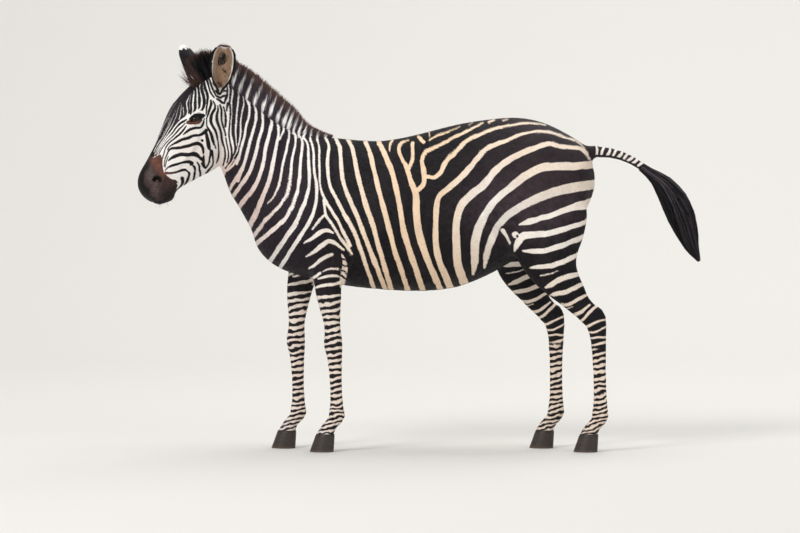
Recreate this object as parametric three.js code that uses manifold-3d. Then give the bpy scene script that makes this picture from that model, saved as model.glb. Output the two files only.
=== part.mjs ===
// A plains zebra as a still, life-size model: it stands on four hooves with its head turned a little to
// its left and its tail swung out behind. Millimetres, +Z up, the animal faces -X and its left side faces
// -Y. The flesh is modelled whole from lofted sections and muscles, then parted into named pieces by thin
// gaps.
import * as THREE from "three";
import { mergeVertices } from "three/addons/utils/BufferGeometryUtils.js";
import Module from "manifold-3d";

const wasm = await Module();
wasm.setup();

// ---------------------------------------------------------------- driving dimensions
const GAP = 0.4; // between neighbouring pieces
const WITHERS = 1264; // height of the back at the shoulders
const CROUP = 1334; // highest point of the rump
const CHEST_FRONT = -668; // foremost point of the breast
const BUTTOCK_BACK = 702; // rearmost point of the rump
const BARREL_HALF = 262; // half the width of the belly
const HOOF_HEIGHT = 72;
const EYE_RADIUS = 22;
const EAR_LENGTH = 196;
const EAR_THICK = 9;
// How many corners a ring has.
const TRUNK_SIDES = 22;
const NECK_SIDES = 18;
const HEAD_SIDES = 20;
const LIMB_SIDES = 10;
const HAIR_SIDES = 10;
const HOOF_SIDES = 12;

const HEAD_YAW = 31; // degrees to the left of straight ahead
const HEAD_TILT = 32; // degrees that the line of the face leans forward of plumb
const POLL = new THREE.Vector3(-898, -98, 1522); // where the line of the face starts, between the ears

// ---------------------------------------------------------------- lofting
// Values between the rows of a table: a smooth curve through every column, `steps` rows for each row
// given.
function refine(rows, steps) {
  const made = [];
  const at = (i) => rows[THREE.MathUtils.clamp(i, 0, rows.length - 1)];
  for (let i = 0; i < rows.length - 1; i++)
    for (let k = 0; k < steps; k++) {
      const t = k / steps;
      made.push(
        at(i).map((_, c) => {
          const [p0, p1, p2, p3] = [at(i - 1)[c], at(i)[c], at(i + 1)[c], at(i + 2)[c]];
          const rise = (p2 - p0) / 2;
          const next = (p3 - p1) / 2;
          return (
            (2 * t ** 3 - 3 * t ** 2 + 1) * p1 +
            (t ** 3 - 2 * t ** 2 + t) * rise +
            (3 * t ** 2 - 2 * t ** 3) * p2 +
            (t ** 3 - t ** 2) * next
          );
        }),
      );
    }
  made.push(rows[rows.length - 1]);
  return made;
}

// One ring of a loft. a and b are opposite points of the outline, half is half the width across them, wide
// is where that width lies on the way from a to b, and squareA and squareB say how boxy each end is (2 is
// an ellipse).
function ring({ a, b, across, half, wide = 0.5, squareA = 2, squareB = 2 }, sides) {
  const points = [];
  for (let i = 0; i < sides; i++) {
    const angle = (2 * Math.PI * i) / sides;
    const c = Math.cos(angle);
    const s = Math.sin(angle);
    const power = 2 / (c >= 0 ? squareA : squareB);
    const reach = Math.abs(c) ** power;
    const along = c >= 0 ? wide * (1 - reach) : wide + (1 - wide) * reach;
    const sideways = half * Math.sign(s) * Math.abs(s) ** power;
    points.push(a.clone().lerp(b, along).addScaledVector(across, sideways));
  }
  return points;
}

// A closed geometry through rings of equal count, with a fan over each end.
function loft(rings) {
  const sides = rings[0].length;
  const corners = rings.flat();
  const middle = (points) => points.reduce((sum, p) => sum.add(p), new THREE.Vector3()).divideScalar(sides);
  const start = corners.push(middle(rings[0])) - 1;
  const end = corners.push(middle(rings[rings.length - 1])) - 1;
  const last = (rings.length - 1) * sides;
  const index = [];
  for (let i = 0; i < sides; i++) {
    const j = (i + 1) % sides;
    index.push(start, j, i, end, last + i, last + j);
    for (let r = 0; r < last; r += sides) {
      const [p, q] = [r + i, r + j];
      index.push(p, q, p + sides, q, q + sides, p + sides);
    }
  }
  return new THREE.BufferGeometry().setFromPoints(corners).setIndex(index);
}

// ---------------------------------------------------------------- solids
// A closed geometry as a solid that manifold-3d can join and cut, whichever way its faces point.
function solid(geometry, matrix = new THREE.Matrix4()) {
  const bare = new THREE.BufferGeometry().setAttribute("position", geometry.getAttribute("position").clone());
  bare.setIndex(geometry.index);
  const merged = mergeVertices(bare.applyMatrix4(matrix), 1e-3);
  const triVerts = new Uint32Array(merged.index.array);
  const vertProperties = merged.attributes.position.array;
  const made = new wasm.Manifold(new wasm.Mesh({ numProp: 3, vertProperties, triVerts }));
  if (made.volume() > 0) return made;
  for (let i = 0; i < triVerts.length; i += 3) triVerts.subarray(i, i + 3).reverse();
  return new wasm.Manifold(new wasm.Mesh({ numProp: 3, vertProperties, triVerts }));
}

const joined = (solids) => solids.reduce((whole, next) => whole.add(next));

function ball(centre, radius) {
  const geometry = new THREE.SphereGeometry(radius, 12, 9);
  return solid(geometry, new THREE.Matrix4().setPosition(centre));
}

// Muscle and bone swell the sides of a ring, and hollows sink them. Each bulge is its place along and up
// the side, its reach both ways, and its height.
function swell(points, bulges) {
  for (const p of points)
    for (const [x, z, reachX, reachZ, height] of bulges) {
      const near = Math.exp(-(((p.x - x) / reachX) ** 2) - ((p.z - z) / reachZ) ** 2);
      p.y += height * near * THREE.MathUtils.clamp(p.y / 40, -1, 1);
    }
  return points;
}

// A large block on one side of a plane, for parting the flesh. normal points into the block.
function beyond(point, normal, offset = 0) {
  const size = 6000;
  const direction = new THREE.Vector3(...normal).normalize();
  const centre = new THREE.Vector3(...point).addScaledVector(direction, size / 2 + offset);
  const turn = new THREE.Quaternion().setFromUnitVectors(new THREE.Vector3(1, 0, 0), direction);
  const place = new THREE.Matrix4().makeRotationFromQuaternion(turn).setPosition(centre);
  return solid(new THREE.BoxGeometry(size, size, size), place);
}

// The two sides of a cut, half a gap away from the plane each.
function part(flesh, point, normal) {
  const back = normal.map((v) => -v);
  return [flesh.intersect(beyond(point, normal, GAP / 2)), flesh.intersect(beyond(point, back, GAP / 2))];
}

const SIDEWAYS = new THREE.Vector3(0, 1, 0);

// ---------------------------------------------------------------- trunk
// Stations from the breast to the buttocks: place along the body, height of the top and of the bottom
// line, half width, where the widest level lies from the top down, and how boxy the roof and the keel are.
const TRUNK = [
  [CHEST_FRONT, 935, 850, 34, 0.5, 2, 2],
  [CHEST_FRONT + 22, 1000, 800, 105, 0.5, 2.1, 2],
  [-590, 1105, 742, 160, 0.55, 2, 2.1],
  [-500, 1205, 700, 188, 0.58, 1.8, 2.1],
  [-400, WITHERS - 6, 674, 202, 0.6, 1.55, 2],
  [-290, 1251, 654, 222, 0.6, 1.6, 2],
  [-150, 1242, 640, 248, 0.58, 1.85, 2.05],
  [0, 1270, 634, BARREL_HALF, 0.56, 2.05, 2.1],
  [150, 1308, 650, BARREL_HALF - 2, 0.54, 2.15, 2.1],
  [290, 1329, 706, 246, 0.5, 2.2, 2],
  [400, CROUP, 770, 228, 0.42, 2.1, 2],
  [500, 1312, 826, 214, 0.4, 2, 2],
  [590, 1268, 880, 184, 0.42, 1.95, 2],
  [655, 1226, 940, 138, 0.46, 1.9, 2],
  [BUTTOCK_BACK - 18, 1170, 1000, 84, 0.5, 2, 2],
  [BUTTOCK_BACK, 1110, 1050, 24, 0.5, 2, 2],
];

// Muscles and hollows of the trunk.
const TRUNK_BULGES = [
  [-462, 1030, 85, 150, 13], // shoulder blade
  [-372, 1120, 40, 120, -7], // hollow behind the blade
  [-556, 900, 72, 80, 24], // point of the shoulder
  [-408, 838, 84, 84, 22], // upper arm
  [-270, 800, 60, 140, -8], // girth behind the elbow
  [338, 1206, 56, 48, 14], // point of the hip
  [286, 1096, 74, 90, -15], // hollow of the flank
  [505, 1030, 130, 150, 26], // haunch
  [610, 1090, 60, 90, 10], // buttock
];

function trunk(grow = 0) {
  const rows = refine(TRUNK, 2);
  return solid(
    loft(
      rows.map(([x, top, bottom, half, wide, squareA, squareB], i) => {
        const place = x + (i === 0 ? -grow : i === rows.length - 1 ? grow : 0);
        const a = new THREE.Vector3(place, 0, top + grow);
        const b = new THREE.Vector3(place, 0, bottom - grow);
        const shape = { a, b, across: SIDEWAYS, half: half + grow, wide, squareA, squareB };
        return swell(ring(shape, TRUNK_SIDES), TRUNK_BULGES);
      }),
    ),
  );
}

// ---------------------------------------------------------------- neck
// Stations from the shoulders to the poll: the crest, the underside, the middle's place to the side, and
// half width.
const NECK = [
  [-300, 1236, -560, 740, 0, 150],
  [-385, 1260, -640, 826, 0, 150],
  [-470, 1275, -690, 904, -2, 134],
  [-548, 1308, -722, 966, -8, 114],
  [-620, 1362, -757, 1020, -18, 97],
  [-686, 1424, -778, 1080, -32, 84],
  [-742, 1470, -800, 1140, -44, 76],
  [-800, 1492, -840, 1210, -58, 70],
  [-850, 1480, -880, 1270, -66, 60],
];

function neck(grow = 0) {
  return solid(
    loft(
      refine(NECK, 2).map(([cx, cz, ux, uz, y, half]) => {
        const a = new THREE.Vector3(cx, y, cz);
        const b = new THREE.Vector3(ux, y, uz);
        const out = a.clone().sub(b).normalize().multiplyScalar(grow);
        a.add(out);
        b.sub(out);
        const shape = { a, b, across: SIDEWAYS, half: half + grow, wide: 0.6, squareA: 1.7, squareB: 2.1 };
        return ring(shape, NECK_SIDES);
      }),
    ),
  );
}

// ---------------------------------------------------------------- head
// The head's own frame: x down the face from the poll to the nose, y to the animal's left, z out of the
// face.
const headFrame = new THREE.Matrix4().makeRotationZ(THREE.MathUtils.degToRad(HEAD_YAW));
{
  const tilt = THREE.MathUtils.degToRad(HEAD_TILT);
  const down = new THREE.Vector3(-Math.sin(tilt), 0, -Math.cos(tilt));
  const out = new THREE.Vector3(-Math.cos(tilt), 0, Math.sin(tilt));
  headFrame.multiply(new THREE.Matrix4().makeBasis(down, new THREE.Vector3(0, -1, 0), out)).setPosition(POLL);
}

// Stations from the poll to the lips: place down the face, the line of the face, the line of the jaw, half
// width, where the widest level lies from the face down, and how boxy the face and the jaw are.
const HEAD = [
  [-30, -80, -190, 48, 0.5, 2, 2],
  [0, -52, -222, 70, 0.45, 2, 2],
  [60, -20, -256, 84, 0.42, 2.2, 2],
  [120, -6, -276, 92, 0.36, 2.4, 2],
  [180, -2, -292, 94, 0.3, 2.5, 2],
  [230, -2, -302, 88, 0.3, 2.4, 2],
  [285, -3, -290, 77, 0.36, 2.1, 2.1],
  [335, -4, -256, 66, 0.44, 2, 2],
  [385, -5, -222, 56, 0.46, 2, 2.1],
  [430, -5, -192, 52, 0.46, 2.1, 2.2],
  [466, -6, -174, 55, 0.46, 2.2, 2.3],
  [494, -14, -168, 57, 0.46, 2.3, 2.3],
  [518, -28, -160, 52, 0.48, 2.2, 2.2],
  [535, -50, -144, 42, 0.5, 2.1, 2.1],
  [544, -76, -122, 22, 0.5, 2, 2],
];
const EYE = [187, 80, -68]; // in the head's frame, on the left; the right eye mirrors it
// Bone and muscle of the head.
const HEAD_BULGES = [
  [168, -36, 46, 26, 9], // brow
  [100, -52, 34, 34, -6], // hollow of the temple
  [232, -186, 84, 66, 13], // cheek
  [300, -112, 84, 20, 6], // crest of the cheek
  [370, -60, 60, 34, -5], // side of the nose
  [482, -60, 28, 28, 9], // nostril
];
const CHIN = { along: 490, reach: 26, depth: 16 };

function head(grow = 0) {
  const rows = refine(HEAD, 2);
  const rings = rows.map(([x, top, bottom, half, wide, squareA, squareB], i) => {
    const place = x + (i === 0 ? -grow : i === rows.length - 1 ? grow : 0);
    const chin = CHIN.depth * Math.exp(-(((x - CHIN.along) / CHIN.reach) ** 2));
    const a = new THREE.Vector3(place, 0, top + grow);
    const b = new THREE.Vector3(place, 0, bottom - chin - grow);
    const shape = { a, b, across: SIDEWAYS, half: half + grow, wide, squareA, squareB };
    return swell(ring(shape, HEAD_SIDES), HEAD_BULGES);
  });
  return solid(loft(rings), headFrame);
}

// ---------------------------------------------------------------- limbs
// A limb lofts sections square to a smooth path through its joints. A section's first number is its place
// on the path, counted in joints; then its reach forward and back, and its half width.
function limb(joints, sections, grow = 0, steps = 2) {
  const corners = joints.map((joint) => new THREE.Vector3(...joint));
  const path = new THREE.CatmullRomCurve3(corners, false, "catmullrom", 0.5);
  return solid(
    loft(
      refine(sections, steps).map(([at, front, back, half]) => {
        const t = at / (joints.length - 1);
        const middle = path.getPoint(t);
        const along = path.getTangent(t);
        const forward = new THREE.Vector3(along.z, 0, -along.x).normalize();
        const a = middle.clone().addScaledVector(forward, front + grow);
        const b = middle.clone().addScaledVector(forward, -back - grow);
        const wide = front / (front + back);
        const shape = { a, b, across: SIDEWAYS, half: half + grow, wide, squareA: 2.1, squareB: 2.1 };
        return ring(shape, LIMB_SIDES);
      }),
    ),
  );
}

// side is -1 for the left. The joints are elbow top, elbow, mid forearm, above the knee, knee, mid cannon,
// fetlock, pastern and coronet; reach says how far each is set forward (-) of the square stance.
function foreleg(side, reach) {
  const joints = [
    [-382, 118, 905],
    [-366, 116, 775],
    [-364, 112, 650],
    [-350, 106, 510],
    [-342, 104, 424],
    [-338, 101, 285],
    [-336, 99, 148],
    [-360, 98, 102],
    [-400, 98, 30],
  ];
  const sections = [
    [0, 74, 80, 46],
    [1, 74, 76, 54],
    [1.5, 70, 68, 52],
    [2, 60, 58, 44],
    [2.5, 46, 46, 37],
    [3, 35, 36, 32],
    [3.5, 38, 36, 37],
    [4, 41, 37, 38],
    [4.35, 33, 34, 30],
    [5, 25, 30, 21],
    [5.6, 26, 31, 23],
    [6, 31, 38, 31],
    [6.6, 27, 31, 27],
    [7.3, 33, 32, 32],
    [8, 36, 34, 36],
  ];
  return limb(joints.map(([x, y, z], i) => [x + reach[i], y * side, z]), sections);
}

// side is -1 for the left. The joints are hip, mid thigh, stifle, mid gaskin, above the hock, hock, mid
// cannon, fetlock, pastern and coronet.
function hindleg(side, joints) {
  const across = [118, 128, 136, 124, 112, 106, 104, 104, 104, 104];
  const sections = [
    [0, 120, 170, 70],
    [0.6, 140, 175, 84],
    [1, 150, 158, 88],
    [1.5, 146, 130, 80],
    [2, 112, 112, 68],
    [2.5, 84, 80, 54],
    [3, 62, 60, 43],
    [3.5, 50, 48, 34],
    [4, 44, 50, 31],
    [4.5, 43, 54, 34],
    [5, 42, 42, 37],
    [5.35, 34, 34, 30],
    [6, 27, 30, 22],
    [6.6, 28, 32, 24],
    [7, 33, 38, 31],
    [7.6, 28, 32, 27],
    [8.3, 34, 33, 32],
    [9, 37, 34, 36],
  ];
  return limb(joints.map(([x, z], i) => [x, across[i] * side, z]), sections);
}

const LEFT_HIND = [
  [492, 1060],
  [508, 870],
  [528, 745],
  [612, 622],
  [664, 556],
  [706, 498],
  [715, 320],
  [716, 148],
  [692, 102],
  [652, 30],
];
const RIGHT_HIND = [
  [470, 1060],
  [430, 880],
  [404, 745],
  [462, 618],
  [506, 552],
  [544, 494],
  [546, 320],
  [544, 148],
  [520, 102],
  [480, 30],
];
const LEFT_FORE_REACH = [0, 0, 0, 0, 0, 0, 0, 0, 0];
const RIGHT_FORE_REACH = [-40, -80, -116, -144, -152, -154, -156, -156, -156];

// ---------------------------------------------------------------- tail
const DOCK = [
  [610, 0, 1180],
  [672, 2, 1195],
  [724, 6, 1193],
  [764, 10, 1189],
  [804, 14, 1178],
  [844, 18, 1161],
  [888, 22, 1134],
  [924, 26, 1106],
  [950, 28, 1076],
];
const DOCK_SECTIONS = [
  [0, 34, 32, 30],
  [1, 30, 28, 28],
  [2, 25, 24, 25],
  [4, 21, 21, 22],
  [6, 18, 18, 18],
  [7, 15, 15, 15],
  [8, 8, 8, 8],
];
const TUFT = [
  [884, 22, 1134],
  [924, 26, 1104],
  [972, 30, 1066],
  [1012, 34, 1010],
  [1042, 38, 944],
  [1066, 40, 876],
  [1092, 40, 806],
  [1120, 40, 752],
];
const TUFT_SECTIONS = [
  [0, 22, 24, 22],
  [1, 32, 30, 28],
  [2, 50, 40, 33],
  [3, 58, 50, 36],
  [4, 58, 48, 35],
  [5, 46, 38, 28],
  [6, 30, 22, 18],
  [7, 6, 5, 5],
];

// ---------------------------------------------------------------- mane and forelock
// Stations from the poll to the withers: the foot on the crest, the tip, the place to the side, half width
// at the foot.
const MANE = [
  [-850, 1450, -856, 1590, -72, 10],
  [-826, 1450, -826, 1608, -68, 20],
  [-776, 1440, -770, 1598, -54, 22],
  [-716, 1420, -712, 1562, -38, 22],
  [-650, 1360, -644, 1514, -24, 22],
  [-580, 1300, -562, 1442, -10, 22],
  [-520, 1262, -496, 1380, -4, 20],
  [-470, 1248, -446, 1318, -2, 18],
  [-420, 1240, -400, 1288, 0, 14],
  [-372, 1236, -350, 1266, 0, 8],
];
const FORELOCK = [
  [-36, -110, -112, -24, 12],
  [-20, -100, -96, 12, 24],
  [10, -70, -52, 46, 30],
  [40, -50, 4, 64, 30],
  [66, -40, 54, 60, 24],
  [86, -30, 86, 38, 10],
];

function mane(grow = 0) {
  return solid(
    loft(
      MANE.map(([fx, fz, tx, tz, y, half]) => {
        const a = new THREE.Vector3(tx, y, tz);
        const b = new THREE.Vector3(fx, y, fz);
        const shape = { a, b, across: SIDEWAYS, half: half + grow, wide: 0.8, squareA: 1.5, squareB: 3 };
        return ring(shape, HAIR_SIDES);
      }),
    ),
  );
}

// Stations across the brow, in the head's frame: foot and tip down the face and out of it, and half width.
function forelock(grow = 0) {
  return solid(
    loft(
      FORELOCK.map(([fx, fz, tx, tz, half]) => {
        const a = new THREE.Vector3(tx, 0, tz);
        const b = new THREE.Vector3(fx, 0, fz);
        const shape = { a, b, across: SIDEWAYS, half: half + grow, wide: 0.75, squareA: 1.6, squareB: 2.5 };
        return ring(shape, HAIR_SIDES);
      }),
    ),
    headFrame,
  );
}

// ---------------------------------------------------------------- ears
// Rows up the ear: share of its length, half width, depth of the cup, and how far the rims fold in, in
// degrees.
const EAR = [
  [0, 26, 30, 150],
  [0.12, 32, 36, 130],
  [0.3, 44, 38, 104],
  [0.5, 50, 34, 92],
  [0.68, 48, 28, 88],
  [0.82, 40, 22, 86],
  [0.93, 26, 14, 82],
  [1, 8, 6, 76],
];

// place is the foot in the world, and turns set the ear's length, lean and the way its cup faces.
function ear(place, turns) {
  const arc = 7;
  const rings = EAR.map(([share, half, depth, fold]) => {
    const wrap = THREE.MathUtils.degToRad(fold);
    const point = (k, inset) => {
      const angle = -wrap + (2 * wrap * k) / (arc - 1);
      const across = (half - inset) * Math.sin(angle);
      return new THREE.Vector3(across, (depth - inset) * Math.cos(angle), share * EAR_LENGTH);
    };
    const inset = Math.min(EAR_THICK, half * 0.45, depth * 0.45);
    const outer = [...Array(arc).keys()].map((k) => point(k, 0));
    const inner = [...Array(arc).keys()].map((k) => point(arc - 1 - k, inset));
    return [...outer, ...inner];
  });
  const turn = new THREE.Quaternion().setFromEuler(new THREE.Euler(...turns.map(THREE.MathUtils.degToRad)));
  return solid(loft(rings), new THREE.Matrix4().compose(place, turn, new THREE.Vector3(1, 1, 1)));
}

const inHead = (u, w, v) => new THREE.Vector3(u, w, v).applyMatrix4(headFrame);

// ---------------------------------------------------------------- hooves
// A hoof: a flat sole, walls that lean in to the coronet, and the toe forward. x and y are the middle of
// the coronet.
function hoof(x, y) {
  const top = HOOF_HEIGHT - GAP;
  const rows = [
    [0, -64, 36, 45],
    [38, -50, 38, 42],
    [top - 8, -41, 38, 39],
    [top, -38, 37, 37],
  ];
  const rings = rows.map(([z, toe, heel, half]) => {
    const a = new THREE.Vector3(x + toe, y, z);
    const b = new THREE.Vector3(x + heel, y, z);
    return ring({ a, b, across: SIDEWAYS, half, wide: 0.56, squareA: 2, squareB: 2.6 }, HOOF_SIDES);
  });
  return solid(loft(rings));
}

// ---------------------------------------------------------------- assembly
const legs = {
  left_front: foreleg(-1, LEFT_FORE_REACH),
  right_front: foreleg(1, RIGHT_FORE_REACH),
  left_hind: hindleg(-1, LEFT_HIND),
  right_hind: hindleg(1, RIGHT_HIND),
};
const dock = limb(DOCK, DOCK_SECTIONS);
const eyes = [1, -1].map((side) => inHead(EYE[0], EYE[1] * side, EYE[2]));
const sockets = eyes.map((e) => ball(e, EYE_RADIUS + GAP));

const flesh = joined([trunk(), neck(), head(), ...Object.values(legs), dock])
  .subtract(joined(sockets))
  .intersect(beyond([0, 0, HOOF_HEIGHT], [0, 0, 1]));
const fleshWithRoom = joined([trunk(GAP), neck(GAP), head(GAP)]);

const solids = {};
let rest = flesh;

// Head and neck, by planes square to the neck; the tail's dock by one at the buttocks.
[solids.head, rest] = part(rest, [-776, -50, 1300], [-1, -0.25, 0.06]);
[solids.neck, rest] = part(rest, [-560, 0, 1060], [-0.78, 0, 0.62]);
[solids.tail_dock, rest] = part(rest, [676, 0, 1196], [0.94, 0, 0.34]);

// Each leg leaves the trunk by a plane that rises outwards, and is parted at the knee or hock.
const LEG_CUTS = {
  left_front: { side: -1, from: -286, point: [-350, 50, 650], normal: [0, 1, -1], joint: [-342, 470] },
  right_front: { side: 1, from: -300, point: [-350, 50, 650], normal: [0, 1, -1], joint: [-490, 470] },
  left_hind: { side: -1, from: 366, point: [345, 100, 790], normal: [0.42, 0.6, -0.9], joint: [690, 566] },
  right_hind: { side: 1, from: 258, point: [250, 100, 730], normal: [0.42, 0.6, -0.9], joint: [528, 560] },
};
for (const [name, { side, from, point, normal, joint }] of Object.entries(LEG_CUTS)) {
  const hind = name.endsWith("hind");
  const place = [point[0], point[1] * side, point[2]];
  const facing = [normal[0], normal[1] * side, normal[2]];
  const zone = (room) =>
    beyond([0, 0, 0], [0, side, 0])
      .intersect(beyond([from, 0, 0], [hind ? 1 : -1, 0, 0], -room))
      .intersect(beyond(place, facing, -room));
  const piece = rest.intersect(zone(-GAP / 2));
  rest = rest.subtract(zone(GAP / 2));
  const [lower, upper] = part(piece, [joint[0], 0, joint[1]], hind ? [0.55, 0, -1] : [0, 0, -1]);
  solids[`${name}_${hind ? "gaskin" : "forearm"}`] = upper;
  solids[`${name}_cannon`] = lower;
}
solids.trunk = rest;

const hoofPlaces = {
  left_front: [-377, -98],
  right_front: [-377 + RIGHT_FORE_REACH[8], 98],
  left_hind: [LEFT_HIND[9][0] + 23, -104],
  right_hind: [RIGHT_HIND[9][0] + 23, 104],
};
for (const [name, [x, y]] of Object.entries(hoofPlaces)) solids[`${name}_hoof`] = hoof(x, y);

["left_eye", "right_eye"].forEach((name, i) => {
  solids[name] = ball(eyes[i], EYE_RADIUS);
});

solids.forelock = forelock().subtract(fleshWithRoom);
solids.mane = mane().subtract(fleshWithRoom).subtract(forelock(GAP));
const headroom = joined([fleshWithRoom, mane(GAP), forelock(GAP)]);
solids.left_ear = ear(inHead(32, 74, -108), [8, 6, 0]).subtract(headroom);
solids.right_ear = ear(inHead(30, -74, -100), [-8, -23, -124]).subtract(headroom);
solids.tail_tuft = limb(TUFT, TUFT_SECTIONS, 0, 1).subtract(limb(DOCK, DOCK_SECTIONS, GAP));

// ---------------------------------------------------------------- materials and meshes
const coat = { color: 0xd8cfc2, roughness: 0.85, metalness: 0 };
const FINISHES = {
  eye: { color: 0x14100d, roughness: 0.12, metalness: 0 },
  hoof: { color: 0x2b2622, roughness: 0.55, metalness: 0 },
  mane: { color: 0x2a2220, roughness: 0.9, metalness: 0 },
  forelock: { color: 0x2a2220, roughness: 0.9, metalness: 0 },
  tuft: { color: 0x171416, roughness: 0.9, metalness: 0 },
};

const zebra = new THREE.Group();
for (const [name, made] of Object.entries(solids)) {
  const largest = made.decompose().sort((p, q) => q.volume() - p.volume())[0];
  const { vertProperties, triVerts } = largest.getMesh();
  const geometry = new THREE.BufferGeometry();
  geometry.setAttribute("position", new THREE.BufferAttribute(vertProperties, 3));
  geometry.setIndex(new THREE.BufferAttribute(triVerts, 1));
  geometry.computeVertexNormals();
  const finish = FINISHES[name.split("_").pop()] ?? coat;
  const mesh = new THREE.Mesh(geometry, new THREE.MeshStandardMaterial(finish));
  mesh.name = name;
  zebra.add(mesh);
}
zebra.name = "zebra";

// The origin is on the floor, under the middle of the animal.
const bounds = new THREE.Box3().setFromObject(zebra);
const middle = bounds.getCenter(new THREE.Vector3());
for (const mesh of zebra.children) mesh.geometry.translate(-middle.x, -middle.y, -bounds.min.z);

export default zebra;
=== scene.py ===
"""A plains zebra as a still, life-size model: one skin with its folds, lids and nostrils, a short striped coat,
upright mane, forelock, tail tuft, eyes and hooves, on a pale studio floor."""

import math
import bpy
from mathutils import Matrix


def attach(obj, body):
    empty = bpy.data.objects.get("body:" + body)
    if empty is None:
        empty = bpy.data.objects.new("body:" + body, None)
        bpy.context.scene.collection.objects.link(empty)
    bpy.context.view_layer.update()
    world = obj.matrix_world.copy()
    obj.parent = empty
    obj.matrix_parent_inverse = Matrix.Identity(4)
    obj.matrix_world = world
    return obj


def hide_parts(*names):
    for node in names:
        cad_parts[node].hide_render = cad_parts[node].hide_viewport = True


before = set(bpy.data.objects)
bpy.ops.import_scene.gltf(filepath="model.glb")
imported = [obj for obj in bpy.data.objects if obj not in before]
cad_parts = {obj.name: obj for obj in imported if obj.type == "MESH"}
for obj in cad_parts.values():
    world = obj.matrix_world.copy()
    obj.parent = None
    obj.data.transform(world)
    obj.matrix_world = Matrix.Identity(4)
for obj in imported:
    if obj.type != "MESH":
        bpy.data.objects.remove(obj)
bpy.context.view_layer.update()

from types import SimpleNamespace

import bmesh
import bpy
import numpy as np
from bpy.props import FloatProperty, FloatVectorProperty, IntProperty, PointerProperty
from mathutils import Vector
from mathutils.bvhtree import BVHTree

bl_info = {
    "name": "Plains zebra",
    "version": (1, 0, 0),
    "blender": (4, 5, 0),
    "location": "3D View > Sidebar > Zebra",
    "description": "Skin, striped coat, mane, tail, eyes and hooves of a standing plains zebra",
    "category": "Object",
}

# ---------------------------------------------------------------- places shared with the solids (metres)
SHIFT = -0.000516  # the solids stand this far along X from their own drawing
POLL = np.array((-0.898 + SHIFT, -0.098, 1.522))
HEAD_YAW = math.radians(31)
HEAD_TILT = math.radians(32)
EYE_PLACE = (0.187, 0.080, -0.068)  # down the face, to the left, out of the face
EYE_RADIUS = 0.022
HOOF_TOP = 0.072
GROW = 0.001  # closes the thin gaps between neighbouring solids
HEAD_CUT = ((-0.776, -0.050, 1.300), (-1, -0.25, 0.06))
NECK_CUT = ((-0.560, 0, 1.060), (-0.78, 0, 0.62))
TAIL_CUT = ((0.676, 0, 1.196), (0.94, 0, 0.34))

# The view in which the markings are laid out: from the animal's left, 800 by 533, a little above level.
VIEW_SIZE = (800, 533)
VIEW_TARGET = np.array((-0.08, 0.0, 0.735))
VIEW_DISTANCE = 28.0
VIEW_RISE = math.radians(3)
VIEW_SCALE = 250.0  # pixels for each metre at the target
VIEW_LENS = 315.0
VIEW_SENSOR = 36.0
PIXEL = 1 / VIEW_SCALE  # metres

# Joints of the legs, from the body down: x, y, z. The right legs stand further forward.
FORE_AXIS = ((-0.382, 0.118, 0.905), (-0.366, 0.116, 0.775), (-0.364, 0.112, 0.650), (-0.350, 0.106, 0.510),
             (-0.342, 0.104, 0.424), (-0.338, 0.101, 0.285), (-0.336, 0.099, 0.148), (-0.400, 0.098, 0.030))
FORE_REACH = (0.040, 0.080, 0.116, 0.144, 0.152, 0.154, 0.156, 0.156)
HIND_AXIS = ((0.492, 0.118, 1.060), (0.508, 0.128, 0.870), (0.528, 0.136, 0.745), (0.612, 0.124, 0.622),
             (0.664, 0.112, 0.556), (0.706, 0.106, 0.498), (0.715, 0.104, 0.320), (0.716, 0.104, 0.148),
             (0.652, 0.104, 0.030))
HIND_REACH = (0.022, 0.078, 0.124, 0.150, 0.158, 0.162, 0.169, 0.172, 0.172)
NECK_MIDDLE = ((-0.90, -0.075), (-0.85, -0.066), (-0.80, -0.058), (-0.742, -0.044), (-0.686, -0.032),
               (-0.62, -0.018), (-0.548, -0.008), (-0.47, -0.002), (-0.385, 0.0))
DOCK = ((0.610, 0.000, 1.180), (0.672, 0.002, 1.195), (0.724, 0.006, 1.193), (0.764, 0.010, 1.189),
        (0.804, 0.014, 1.178), (0.844, 0.018, 1.161), (0.888, 0.022, 1.134), (0.924, 0.026, 1.106),
        (0.950, 0.028, 1.076))
TUFT = ((0.884, 0.022, 1.134), (0.924, 0.026, 1.104), (0.972, 0.030, 1.066), (1.012, 0.034, 1.010),
        (1.042, 0.038, 0.944), (1.066, 0.040, 0.876), (1.092, 0.040, 0.806), (1.120, 0.040, 0.752))
# Along the tuft: how far it reaches to the front, to the back and to each side; and the dock's own radius there.
TUFT_REACH = ((0.022, 0.024, 0.022), (0.032, 0.030, 0.028), (0.050, 0.040, 0.033), (0.058, 0.050, 0.036),
              (0.058, 0.048, 0.035), (0.046, 0.038, 0.028), (0.030, 0.022, 0.018), (0.006, 0.005, 0.005))
DOCK_RADIUS = 0.0165
# Foot on the crest and tip of the mane: foot x, foot z, tip x, tip z, place to the side, half width.
MANE = ((-0.850, 1.450, -0.856, 1.590, -0.072, 0.010), (-0.826, 1.450, -0.826, 1.608, -0.068, 0.020),
        (-0.776, 1.440, -0.770, 1.598, -0.054, 0.022), (-0.716, 1.420, -0.712, 1.562, -0.038, 0.022),
        (-0.650, 1.360, -0.644, 1.514, -0.024, 0.022), (-0.580, 1.300, -0.562, 1.442, -0.010, 0.022),
        (-0.520, 1.262, -0.496, 1.380, -0.004, 0.020), (-0.470, 1.248, -0.446, 1.318, -0.002, 0.018),
        (-0.420, 1.240, -0.400, 1.288, 0.000, 0.014), (-0.372, 1.236, -0.350, 1.266, 0.000, 0.008))
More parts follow.
